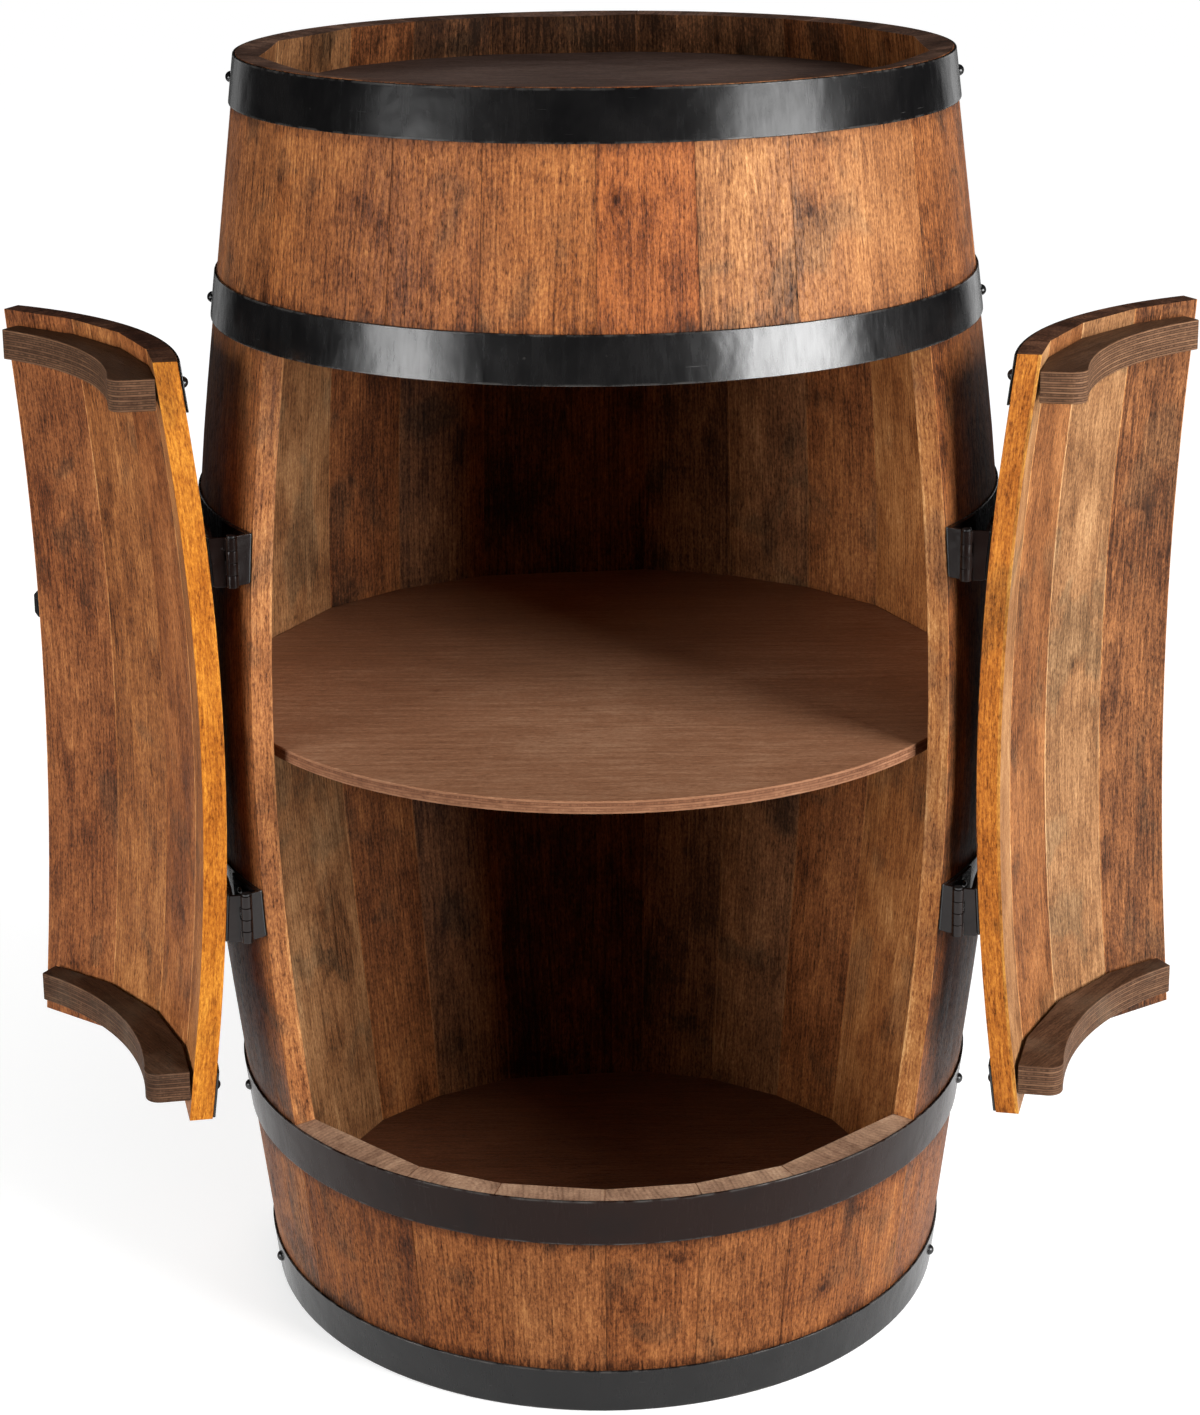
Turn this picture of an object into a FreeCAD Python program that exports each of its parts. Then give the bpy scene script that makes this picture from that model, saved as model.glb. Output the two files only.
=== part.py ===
import FreeCAD, Part
import math
import os
import Sketcher

# Barrel bar cabinet, millimetres, +Z up.  Origin: centre of the barrel at floor level.
# The front is -Y.  "Front angle" is counted about Z from the front, positive towards +X.
# The doors are drawn in their closed place and then swung open about their hinge axes:
# the open position is the rest position of the model.

V = FreeCAD.Vector
DOC = FreeCAD.newDocument("BarrelCabinet")
SHEET = DOC.addObject("Spreadsheet::Sheet", "Dims")

DIMS = [
    ("barrel_height", 800.0, "overall height"),
    ("r_end", 218.0, "outside radius at both rims"),
    ("r_shoulder", 243.0, "outside radius where the straight ends meet the bulge"),
    ("r_mid", 255.0, "outside radius at half height"),
    ("shoulder_low", 204.0, "height of the lower shoulder"),
    ("shoulder_high", 596.0, "height of the upper shoulder"),
    ("bulge_radius", 1606.6667, "radius of the bulge along the stave"),
    ("edge_thick", 14.0, "stave thickness at its edges"),
    ("core_radius", 150.0, "inside radius of the stave blank"),
    ("rim_drop", 6.0, "fall of the rim over the stave blank"),
    ("joint_gap", 0.05, "gap angle between staves"),
    ("croze_high_low", 765.0, "underside of the upper croze groove"),
    ("croze_low_low", 6.0, "underside of the lower croze groove"),
    ("croze_height", 8.0, "height of a croze groove"),
    ("croze_radius_top", 212.0, "radius of the upper croze groove"),
    ("croze_radius_low", 210.0, "radius of the lower croze groove"),
    ("panel_clear", 0.3, "play of a head panel in its groove"),
    ("opening_half", 54.0, "half angle of the front opening"),
    ("opening_low", 150.0, "lower edge of the opening"),
    ("opening_high", 641.0, "upper edge of the opening"),
    ("door_low", 164.5, "lower edge of the doors"),
    ("door_high", 638.5, "upper edge of the doors"),
    ("door_hinge_gap", 0.35, "gap angle at the hinge edge"),
    ("door_mid_gap", 0.55, "gap angle at the meeting edge"),
    ("left_open", 207.0, "opening angle of the left door"),
    ("right_open", 205.5, "opening angle of the right door"),
    ("hoop_fit", 0.05, "play between a hoop and the wood"),
    ("hoop_thick", 1.6, "hoop thickness"),
    ("hinge_radius", 264.0, "radius of the hinge axes from the barrel axis"),
    ("hinge_upper", 518.0, "centre of the upper hinges"),
    ("hinge_lower", 295.0, "centre of the lower hinges"),
    ("leaf_height", 30.0, "hinge height"),
    ("leaf_thick", 2.0, "hinge leaf thickness"),
    ("leaf_span", 8.0, "angle covered by a hinge leaf"),
    ("leaf_gap", 0.09, "angle between a leaf and the cut plane"),
    ("knuckle_radius", 3.5, "hinge knuckle radius"),
    ("bore_radius", 1.55, "hinge knuckle bore radius"),
    ("pin_radius", 1.5, "hinge pin radius"),
    ("pin_head_radius", 2.7, "hinge pin head radius"),
    ("pin_head_height", 1.1, "hinge pin head height"),
    ("pin_stand", 0.4, "how far a pin stands out of its knuckles at each end"),
    ("knuckles", 4.0, "knuckles on a hinge"),
    ("knuckle_gap", 0.4, "gap between neighbouring knuckles"),
    ("shelf_top", 395.0, "top face of the shelf"),
    ("shelf_thick", 8.0, "shelf thickness"),
    ("shelf_front", 225.0, "reach of the shelf at the front centre"),
    ("shelf_arc", 242.6, "radius of the curved front edge of the shelf"),
    ("shelf_clear", 0.6, "play of the shelf against the wall"),
    ("rib_thick", 19.0, "door rib thickness"),
    ("rib_inset_top", 9.5, "distance of the upper rib from the top of the door"),
    ("rib_inset_low", 13.5, "distance of the lower rib from the bottom of the door"),
    ("rib_end", 3.1, "angle between the middle of the cabinet and the free end of a rib"),
    ("rib_hinge_width", 27.0, "rib width at the hinge end"),
    ("rib_free_width", 15.0, "rib width at the free end"),
    ("latch_height", 433.0, "height of the latch pivot"),
    ("latch_angle", 6.5, "front angle of the latch pivot"),
    ("latch_plate", 2.0, "latch plate thickness"),
    ("latch_width", 25.0, "latch plate height"),
    ("latch_bar_thick", 3.0, "latch bar thickness"),
    ("stud_radius", 3.0, "latch stud radius"),
    ("stud_head", 5.0, "latch stud head radius"),
    ("keeper_plate", 1.6, "keeper plate thickness"),
    ("keeper_width", 10.0, "keeper lip width"),
    ("keeper_lip", 2.0, "keeper lip thickness"),
    ("keeper_mouth", 8.5, "free depth of the keeper"),
    ("cleat_side", 16.0, "side of a shelf cleat"),
    ("cleat_length", 64.0, "length of a shelf cleat"),
    ("cleat_fit", 0.05, "play between a cleat and the wall"),
    ("screw_radius", 3.6, "radius of a hoop screw's head"),
    ("leaf_screw_radius", 2.2, "radius of a hinge screw's head"),
    ("shank_radius", 1.3, "radius of a screw's shank"),
    ("screw_length", 9.0, "length of a hoop screw under its head"),
    ("leaf_screw_length", 11.0, "length of a hinge screw under its head"),
]
VALUES = {}
for row, (alias, number, note) in enumerate(DIMS, 1):
    SHEET.set("A%d" % row, alias)
    SHEET.set("B%d" % row, str(number))
    SHEET.setAlias("B%d" % row, alias)
    SHEET.set("C%d" % row, note)
DOC.recompute()
for alias, number, note in DIMS:
    VALUES[alias] = float(SHEET.get(alias))


class Q:
    """A size: its value and the sheet expression that drives it."""

    def __init__(self, v, e=None):
        self.v = float(v)
        self.e = e if e is not None else ("%.6f" % v if v >= 0 else "(%.6f)" % v)

    def __add__(self, o):
        o = q(o)
        return Q(self.v + o.v, "(%s + %s)" % (self.e, o.e))

    def __sub__(self, o):
        o = q(o)
        return Q(self.v - o.v, "(%s - %s)" % (self.e, o.e))

    def __mul__(self, o):
        o = q(o)
        return Q(self.v * o.v, "(%s * %s)" % (self.e, o.e))

    def __truediv__(self, o):
        o = q(o)
        return Q(self.v / o.v, "(%s / %s)" % (self.e, o.e))


def q(x):
    return x if isinstance(x, Q) else Q(x)


def D(alias):
    return Q(VALUES[alias], "Dims." + alias)


def cosd(a):
    a = q(a)
    return Q(math.cos(math.radians(a.v)), "cos(%s)" % a.e)


def sind(a):
    a = q(a)
    return Q(math.sin(math.radians(a.v)), "sin(%s)" % a.e)


def outer_radius(z):
    """Outside radius of the wood at height z; on the bulge it is a plain number."""
    z = q(z)
    if z.v > VALUES["shoulder_high"] + 1e-6:
        return D("r_end") + (D("r_shoulder") - D("r_end")) * (D("barrel_height") - z) / (
            D("barrel_height") - D("shoulder_high"))
    if z.v < VALUES["shoulder_low"] - 1e-6:
        return D("r_end") + (D("r_shoulder") - D("r_end")) * z / D("shoulder_low")
    if abs(z.v - VALUES["shoulder_high"]) < 1e-6 or abs(z.v - VALUES["shoulder_low"]) < 1e-6:
        return D("r_shoulder")
    mid = 0.5 * (VALUES["shoulder_low"] + VALUES["shoulder_high"])
    big = VALUES["bulge_radius"]
    drop = big - math.sqrt(big ** 2 - (z.v - mid) ** 2)
    return D("r_mid") - Q(drop)


# ---------------------------------------------------------------- sketch helpers
def origin_of(body, role):
    return [o for o in body.Origin.OriginFeatures if o.Role == role][0]


def new_sketch(body, name, role, offset=None):
    sk = body.newObject("Sketcher::SketchObject", name)
    sk.AttachmentSupport = [(origin_of(body, role), "")]
    sk.MapMode = "FlatFace"
    if offset is not None:
        offset = q(offset)
        sk.AttachmentOffset = FreeCAD.Placement(V(0, 0, offset.v), FreeCAD.Rotation())
        sk.setExpression("AttachmentOffset.Base.z", offset.e)
    return sk


def bind(sk, constraint, expr):
    i = sk.addConstraint(constraint)
    if expr is not None:
        sk.setExpression("Constraints[%d]" % i, expr)
    return i


def add_loop(sk, pts):
    """Closed loop.  Each entry is (x, y) or (x, y, radius, bow): the edge that leaves the
    point is then an arc of that radius which bows to the +x side (bow 1) or -x side (bow -1)."""
    n = len(pts)
    ends = []
    for i in range(n):
        a = pts[i]
        b = pts[(i + 1) % n]
        ax, ay, bx, by = q(a[0]).v, q(a[1]).v, q(b[0]).v, q(b[1]).v
        if len(a) == 4:
            rad = q(a[2])
            mx, my = 0.5 * (ax + bx), 0.5 * (ay + by)
            half = 0.5 * math.hypot(bx - ax, by - ay)
            lift = math.sqrt(max(rad.v ** 2 - half ** 2, 0.0))
            nx, ny = -(by - ay) / (2 * half), (bx - ax) / (2 * half)
            # the centre lies on the side away from the bow
            if (nx > 0) == (a[3] > 0):
                nx, ny = -nx, -ny
            cx, cy = mx + nx * lift, my + ny * lift
            t0 = math.atan2(ay - cy, ax - cx)
            t1 = math.atan2(by - cy, bx - cx)
            ccw = (t1 - t0) % (2 * math.pi) < math.pi
            if not ccw:
                t0, t1 = t1, t0
            circle = Part.Circle(V(cx, cy, 0), V(0, 0, 1), rad.v)
            g = sk.addGeometry(Part.ArcOfCircle(circle, t0, t1), False)
            ends.append((g, 1, 2) if ccw else (g, 2, 1))
            arc_radius = rad
        else:
            g = sk.addGeometry(Part.LineSegment(V(ax, ay, 0), V(bx, by, 0)), False)
            ends.append((g, 1, 2))
            arc_radius = None
        if arc_radius is not None:
            bind(sk, Sketcher.Constraint("Radius", g, arc_radius.v), arc_radius.e)
    for i in range(n):
        g, _, e = ends[i]
        h, s, _ = ends[(i + 1) % n]
        sk.addConstraint(Sketcher.Constraint("Coincident", g, e, h, s))
    for i in range(n):
        g, s, _ = ends[i]
        x, y = q(pts[i][0]), q(pts[i][1])
        bind(sk, Sketcher.Constraint("DistanceX", -1, 1, g, s, x.v), x.e)
        bind(sk, Sketcher.Constraint("DistanceY", -1, 1, g, s, y.v), y.e)


def add_circle(sk, x, y, r):
    x, y, r = q(x), q(y), q(r)
    g = sk.addGeometry(Part.Circle(V(x.v, y.v, 0), V(0, 0, 1), r.v), False)
    bind(sk, Sketcher.Constraint("Radius", g, r.v), r.e)
    bind(sk, Sketcher.Constraint("DistanceX", -1, 1, g, 3, x.v), x.e)
    bind(sk, Sketcher.Constraint("DistanceY", -1, 1, g, 3, y.v), y.e)


def volume(body):
    DOC.recompute()
    return body.Shape.Volume


def revolve(body, sk, angle, midplane=True, reverse=False):
    angle = q(angle)
    f = body.newObject("PartDesign::Revolution", "Revolution")
    f.Profile = sk
    f.ReferenceAxis = (sk, ["V_Axis"])
    f.Angle = angle.v
    f.setExpression("Angle", angle.e)
    f.Midplane = midplane
    f.Reversed = reverse
    return f


def groove(body, sk):
    before = volume(body)
    f = body.newObject("PartDesign::Groove", "Groove")
    f.Profile = sk
    f.ReferenceAxis = (sk, ["V_Axis"])
    f.Angle = 360.0
    after = volume(body)
    if not after < before - 1.0:
        raise RuntimeError("groove cut nothing on " + body.Label)
    return f


def pad(body, sk, length, symmetric=False, reverse=False):
    length = q(length)
    f = body.newObject("PartDesign::Pad", "Pad")
    f.Profile = sk
    f.Length = length.v
    f.setExpression("Length", length.e)
    if symmetric:
        f.SideType = "Symmetric"
    f.Reversed = reverse
    return f


def pocket(body, sk, length=None, symmetric=False, reverse=False):
    before = volume(body)
    f = body.newObject("PartDesign::Pocket", "Pocket")
    f.Profile = sk
    if length is None:
        f.Type = "ThroughAll"
    else:
        length = q(length)
        f.Length = length.v
        f.setExpression("Length", length.e)
    if symmetric:
        f.SideType = "Symmetric"
    f.Reversed = reverse
    after = volume(body)
    if not 1.0 < after < before - 1.0:
        raise RuntimeError("pocket cut nothing on " + body.Label)
    return f


# ---------------------------------------------------------------- placements
def turn(angle):
    return FreeCAD.Placement(V(0, 0, 0), FreeCAD.Rotation(V(0, 0, 1), angle))


def about(x, y, angle):
    """Turn by angle about the vertical line through x, y."""
    return (FreeCAD.Placement(V(x, y, 0), FreeCAD.Rotation())
            .multiply(turn(angle))
            .multiply(FreeCAD.Placement(V(-x, -y, 0), FreeCAD.Rotation())))


HINGE_X = VALUES["hinge_radius"] * math.sin(math.radians(VALUES["opening_half"]))
HINGE_Y = -VALUES["hinge_radius"] * math.cos(math.radians(VALUES["opening_half"]))
SWING = {
    "cabinet": FreeCAD.Placement(),
    "left": about(-HINGE_X, HINGE_Y, -VALUES["left_open"]),
    "right": about(HINGE_X, HINGE_Y, VALUES["right_open"]),
}
NODES = []


def new_body(label):
    body = DOC.addObject("PartDesign::Body", label)
    body.Label = label
    return body


def finish(obj, place=None, node=True):
    if place is not None:
        obj.Placement = place
    if node:
        NODES.append(obj)
    return obj


def heights(low, high):
    zs = [q(low)]
    for name in ("shoulder_low", "shoulder_high"):
        if q(low).v + 1e-6 < VALUES[name] < q(high).v - 1e-6:
            zs.append(D(name))
    zs.append(q(high))
    return zs


def on_bulge(a, b):
    return a.v > VALUES["shoulder_low"] - 1e-3 and b.v < VALUES["shoulder_high"] + 1e-3


# ---------------------------------------------------------------- staves
def stave(label, low, high, a0, a1, swing="cabinet", node=True):
    """One stave between two joints at front angles a0 and a1: round outside, flat inside."""
    low, high, a0, a1 = q(low), q(high), q(a0), q(a1)
    width = a1 - a0
    half = width / 2.0
    body = new_body(label)
    blank = new_sketch(body, "Blank_" + label, "XZ_Plane")
    zs = heights(low, high)
    loop = []
    for i, z in enumerate(zs):
        x = outer_radius(z)
        if i + 1 < len(zs) and on_bulge(z, zs[i + 1]):
            loop.append((x, z, D("bulge_radius"), 1))
        else:
            loop.append((x, z))
    at_rim = abs(high.v - VALUES["barrel_height"]) < 1e-6
    loop.append((D("core_radius"), high - D("rim_drop") if at_rim else high))
    loop.append((D("core_radius"), low))
    add_loop(blank, loop)
    revolve(body, blank, width - D("joint_gap"))
    whole = volume(body)
    # the flat inner face: everything nearer the axis than the chord between the joints
    cut = new_sketch(body, "Flat_" + label, "XZ_Plane")
    zs = heights(low - 12.0, high + 12.0)
    loop = []
    for i, z in enumerate(zs):
        x = (outer_radius(z) - D("edge_thick")) * cosd(half)
        if i + 1 < len(zs) and on_bulge(z, zs[i + 1]):
            dip = (D("r_mid") - D("r_shoulder")) * cosd(half)
            reach = (D("shoulder_high") - D("shoulder_low")) / 2.0
            loop.append((x, z, (reach * reach + dip * dip) / (dip * 2.0), 1))
        else:
            loop.append((x, z))
    inner = D("core_radius") - 60.0
    loop.append((inner, high + 12.0))
    loop.append((inner, low - 12.0))
    add_loop(cut, loop)
    pocket(body, cut, symmetric=True)
    if not volume(body) < 0.6 * whole:
        raise RuntimeError("inner face not cut on " + label)
    rects = []
    if at_rim:
        rects.append((D("croze_high_low"), D("croze_radius_top")))
    if low.v < 1e-6:
        rects.append((D("croze_low_low"), D("croze_radius_low")))
    for k, (z, r) in enumerate(rects):
        sk = new_sketch(body, "Croze%d_%s" % (k, label), "XZ_Plane")
        add_loop(sk, [(D("core_radius"), z), (r, z), (r, z + D("croze_height")),
                      (D("core_radius"), z + D("croze_height"))])
        groove(body, sk)
    mid = 0.5 * (a0.v + a1.v)
    return finish(body, SWING[swing].multiply(turn(mid - 90.0)), node)


FULL = [54.0, 78.0, 102.0, 127.0, 142.0, 157.0, 172.0, 200.0, 216.0, 231.0, 256.0, 281.0, 306.0]
for i in range(12):
    stave("stave_%02d" % (i + 1), 0.0, D("barrel_height"), FULL[i], FULL[i + 1])

LEFT_JOINTS = [-54.0, -44.0, -30.0, -16.0, 0.0]
RIGHT_JOINTS = [0.0, 14.0, 28.5, 43.5, 54.0]
# the short staves above and below the doors are wide ones at both sides of the opening
front = [a for a in LEFT_JOINTS + RIGHT_JOINTS[1:] if a not in (-44.0, 43.5)]
for i in range(6):
    stave("upper_front_stave_%d" % (i + 1), D("opening_high"), D("barrel_height"), front[i], front[i + 1])
for i in range(6):
    stave("lower_front_stave_%d" % (i + 1), 0.0, D("opening_low"), front[i], front[i + 1])
for side, joints in (("left", LEFT_JOINTS), ("right", RIGHT_JOINTS)):
    for i in range(4):
        a0, a1 = q(joints[i]), q(joints[i + 1])
        if joints[i] == -54.0:
            a0 = a0 + D("door_hinge_gap")
        if joints[i] == 0.0:
            a0 = a0 + D("door_mid_gap")
        if joints[i + 1] == 0.0:
            a1 = a1 - D("door_mid_gap")
        if joints[i + 1] == 54.0:
            a1 = a1 - D("door_hinge_gap")
        stave("%s_door_stave_%d" % (side, i + 1), D("door_low"), D("door_high"), a0, a1, side)


# ---------------------------------------------------------------- hoops and straps
def strip_loop(z0, z1, base, thick):
    """Section of a band that lies on the barrel between two heights."""
    z0, z1, base, thick = q(z0), q(z1), q(base), q(thick)
    r0, r1 = outer_radius(z0) + base, outer_radius(z1) + base
    if on_bulge(z0, z1):
        return [(r0, z0), (r0 + thick, z0, D("bulge_radius"), 1), (r1 + thick, z1),
                (r1, z1, D("bulge_radius"), 1)]
    return [(r0, z0), (r0 + thick, z0), (r1 + thick, z1), (r1, z1)]


def band(label, z0, z1, a0, a1, swing="cabinet", node=True):
    body = new_body(label)
    sk = new_sketch(body, "Section_" + label, "XZ_Plane")
    add_loop(sk, strip_loop(z0, z1, D("hoop_fit"), D("hoop_thick")))
    revolve(body, sk, q(a1) - q(a0))
    mid = 0.5 * (q(a0).v + q(a1).v)
    return finish(body, SWING[swing].multiply(turn(mid - 90.0)), node)


band("top_hoop", 770.0, 799.6, 0.0, 360.0)
band("upper_quarter_hoop", D("opening_high") - 1.0, 668.0, 0.0, 360.0)
band("lower_quarter_hoop", 120.0, D("opening_low") + 0.5, 0.0, 360.0)
band("bottom_hoop", 0.8, 29.5, 0.0, 360.0)
HALF_LEAF = D("leaf_height") / 2.0
band("upper_bilge_hoop", D("hinge_upper") - HALF_LEAF, D("hinge_upper") + HALF_LEAF,
     D("opening_half") + 0.2, Q(360.0) - D("opening_half") - 0.2)
band("lower_bilge_hoop", D("hinge_lower") - HALF_LEAF, D("hinge_lower") + HALF_LEAF,
     D("opening_half") + 0.2, Q(360.0) - D("opening_half") - 0.2)


def group(label, parts, node=True):
    c = DOC.addObject("Part::Compound", label)
    c.Label = label
    c.Links = parts
    return finish(c, None, node)


for side, s in (("left", -1.0), ("right", 1.0)):
    # from the meeting edge to the hinge edge, kept just inside the wood
    near = D("door_mid_gap") + 0.15
    far = D("opening_half") - D("door_hinge_gap") - 0.15
    a0, a1 = (near, far) if s > 0 else (q(0.0) - far, q(0.0) - near)
    pair = [band(side + "_top_strap_piece", D("door_high") - 30.5, D("door_high") - 0.5, a0, a1, side, False),
            band(side + "_bottom_strap_piece", D("door_low") + 0.5, D("door_low") + 30.5, a0, a1, side, False)]
    group(side + "_door_end_straps", pair)
    pair = []
    for part, z in (("upper", D("hinge_upper")), ("lower", D("hinge_lower"))):
        pair.append(band("%s_%s_strap_piece" % (side, part), z - HALF_LEAF, z + HALF_LEAF, a0, a1, side, False))
    group(side + "_door_bilge_straps", pair)


# ---------------------------------------------------------------- panels and shelf
def disc(label, r, z, thick):
    body = new_body(label)
    sk = new_sketch(body, "Disc_" + label, "XY_Plane", z)
    add_circle(sk, 0.0, 0.0, r)
    pad(body, sk, thick)
    return finish(body, FreeCAD.Placement())


disc("top_panel", D("croze_radius_top") - D("panel_clear"), D("croze_high_low"), D("croze_height"))
disc("bottom_panel", D("croze_radius_low") - D("panel_clear"), D("croze_low_low"), D("croze_height"))

# Shelf: the back follows the stave faces from joint to joint, the front is one arc.  It is
# drawn with its front at +x, and the body is turned so that +x becomes the front.
shelf = new_body("shelf")
sk = new_sketch(shelf, "Shelf_Outline", "XY_Plane", D("shelf_top") - D("shelf_thick"))
rim = outer_radius(D("shelf_top")) - D("edge_thick") - D("shelf_clear")
joints = [a for a in FULL if 60.0 < a < 300.0]
centre = D("shelf_front") - D("shelf_arc")
loop = []


def on_chord(a0, a1, a):
    """Point at front angle a on the straight wall between the joints a0 and a1."""
    half, mid = 0.5 * (a1 - a0), 0.5 * (a0 + a1)
    r = rim * cosd(half) / cosd(a - mid)
    return r * cosd(a), r * sind(a)


def meet(a0, a1):
    """Front angle at which the front arc of the shelf reaches the wall."""
    half, mid = math.radians(0.5 * (a1 - a0)), math.radians(0.5 * (a0 + a1))
    best, at = 1e9, a0
    for k in range(0, 2401):
        a = a0 + (a1 - a0) * k / 2400.0
        r = rim.v * math.cos(half) / math.cos(math.radians(a) - mid)
        d = math.hypot(r * math.cos(math.radians(a)) - centre.v, r * math.sin(math.radians(a)))
        if abs(d - VALUES["shelf_arc"]) < best:
            best, at = abs(d - VALUES["shelf_arc"]), a
    return at


right_end = meet(54.0, 78.0)
loop = [on_chord(54.0, 78.0, right_end)]
for a in joints:
    loop.append((rim * cosd(a), rim * sind(a)))
last = on_chord(281.0, 306.0, 360.0 - meet(54.0, 79.0))
loop.append((last[0], last[1], D("shelf_arc"), 1))
add_loop(sk, loop)
pad(shelf, sk, D("shelf_thick"))
finish(shelf, turn(-90.0))

# Cleats under the shelf, flat against the middle of three staves.
cleats = []
for k, (a0, a1) in enumerate(((78.0, 102.0), (172.0, 200.0), (256.0, 281.0))):
    cleat = DOC.addObject("Part::Box", "cleat_%d" % (k + 1))
    for prop, alias in (("Length", "cleat_side"), ("Width", "cleat_length"), ("Height", "cleat_side")):
        setattr(cleat, prop, VALUES[alias])
        cleat.setExpression(prop, "Dims." + alias)
    face = (outer_radius(D("shelf_top") - 40.0) - D("edge_thick")) * cosd(0.5 * (a1 - a0))
    cleat.Placement = turn(0.5 * (a0 + a1) - 90.0).multiply(FreeCAD.Placement(
        V(face.v - VALUES["cleat_side"] - VALUES["cleat_fit"], -0.5 * VALUES["cleat_length"],
          VALUES["shelf_top"] - VALUES["shelf_thick"] - VALUES["cleat_side"]), FreeCAD.Rotation()))
    cleats.append(cleat)
group("shelf_cleats", cleats)


# ---------------------------------------------------------------- door ribs
def rib(label, side, z):
    """Crescent plate inside a door.  Drawn with the meeting edge near +x on the right door and
    the hinge edge near +x on the left door, so every corner lies in the first quadrant."""
    body = new_body(label)
    sk = new_sketch(body, "Crescent_" + label, "XY_Plane", z)
    small = z + D("rib_thick") if z.v > 400.0 else z
    edge = outer_radius(small) - D("edge_thick") - 0.3
    gap, far = D("rib_end"), D("opening_half") - D("door_hinge_gap")
    joints = [14.0, 28.5, 43.5] if side == "right" else [16.0, 30.0, 44.0]

    def at(r, a):
        a = q(a)
        if side == "left":
            a = Q(54.0) - a
        return (r * cosd(a), r * sind(a))

    free = edge - D("rib_free_width")
    tail = edge - D("rib_hinge_width")
    bow = -1 if side == "right" else -1
    first = q(joints[0] / 2.0)
    flat = edge * cosd(first) / cosd(first - gap)
    pts = [at(flat, gap)] + [at(edge, a) for a in joints] + [at(edge, far)]
    pts.append(at(tail + 9.0, far))
    corner = at(tail, far - 2.7)
    pts[-1] = pts[-1] + (Q(9.6), -1)
    pts.append(corner + (Q(205.0), 1))
    pts.append(at(free, gap))
    add_loop(sk, pts)
    pad(body, sk, D("rib_thick"))
    base = turn(-90.0) if side == "right" else turn(-90.0 - 54.0)
    return finish(body, SWING[side].multiply(base))


for side in ("left", "right"):
    rib(side + "_door_upper_rib", side, D("door_high") - D("rib_inset_top") - D("rib_thick"))
    rib(side + "_door_lower_rib", side, D("door_low") + D("rib_inset_low"))


# ---------------------------------------------------------------- hinges
def leaf(label, z, s, knuckles, swing):
    """Hinge leaf in the frame whose +x is the leaf's own edge plane.  s is the side on which
    the leaf lies (+1 towards +y).  knuckles: the knuckles that it keeps, counted from below."""
    body = new_body(label)
    low, high = z - HALF_LEAF, z + HALF_LEAF
    base = D("hoop_fit") + D("hoop_thick") + 0.02
    sk = new_sketch(body, "Flange_" + label, "XZ_Plane")
    add_loop(sk, strip_loop(low, high, base, D("leaf_thick")))
    revolve(body, sk, D("leaf_span"), False, s < 0)
    volume(body)
    leg = new_sketch(body, "Leg_" + label, "XZ_Plane")
    add_loop(leg, [(outer_radius(low) + base + 0.2, low), (D("hinge_radius"), low),
                   (D("hinge_radius"), high), (outer_radius(high) + base + 0.2, high, D("bulge_radius"), 1)])
    pad(body, leg, D("leaf_thick"), reverse=(s > 0))
    off = D("hinge_radius") * sind(D("leaf_gap"))
    x = D("hinge_radius") * cosd(D("leaf_gap"))
    y = q(0.0) - off if s > 0 else off
    roll = new_sketch(body, "Knuckle_" + label, "XY_Plane", low)
    add_circle(roll, x, y, D("knuckle_radius"))
    pad(body, roll, D("leaf_height"))
    bore = new_sketch(body, "Bore_" + label, "XY_Plane", low)
    add_circle(bore, x, y, D("bore_radius"))
    pocket(body, bore, D("leaf_height"), reverse=True)
    count = int(VALUES["knuckles"])
    pitch = D("leaf_height") / D("knuckles")
    play = D("knuckle_gap") / 2.0
    for k in range(count):
        if k in knuckles:
            continue
        grow0 = play if k > 0 else q(0.0)
        grow1 = play if k < count - 1 else q(0.0)
        notch = new_sketch(body, "Notch%d_%s" % (k, label), "XY_Plane", low + pitch * float(k) - grow0)
        r = D("knuckle_radius") + 0.5
        add_loop(notch, [(x - r, y - r), (x + r, y - r), (x + r, y + r), (x - r, y + r)])
        pocket(body, notch, pitch + grow0 + grow1, reverse=True)
    sign = 1.0 if s > 0 else -1.0
    hinge_angle = VALUES["opening_half"] if label.startswith("right") or "_right_" in label else -VALUES["opening_half"]
    place = turn(hinge_angle + sign * VALUES["leaf_gap"] - 90.0)
    return finish(body, SWING[swing].multiply(place), False)


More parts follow.
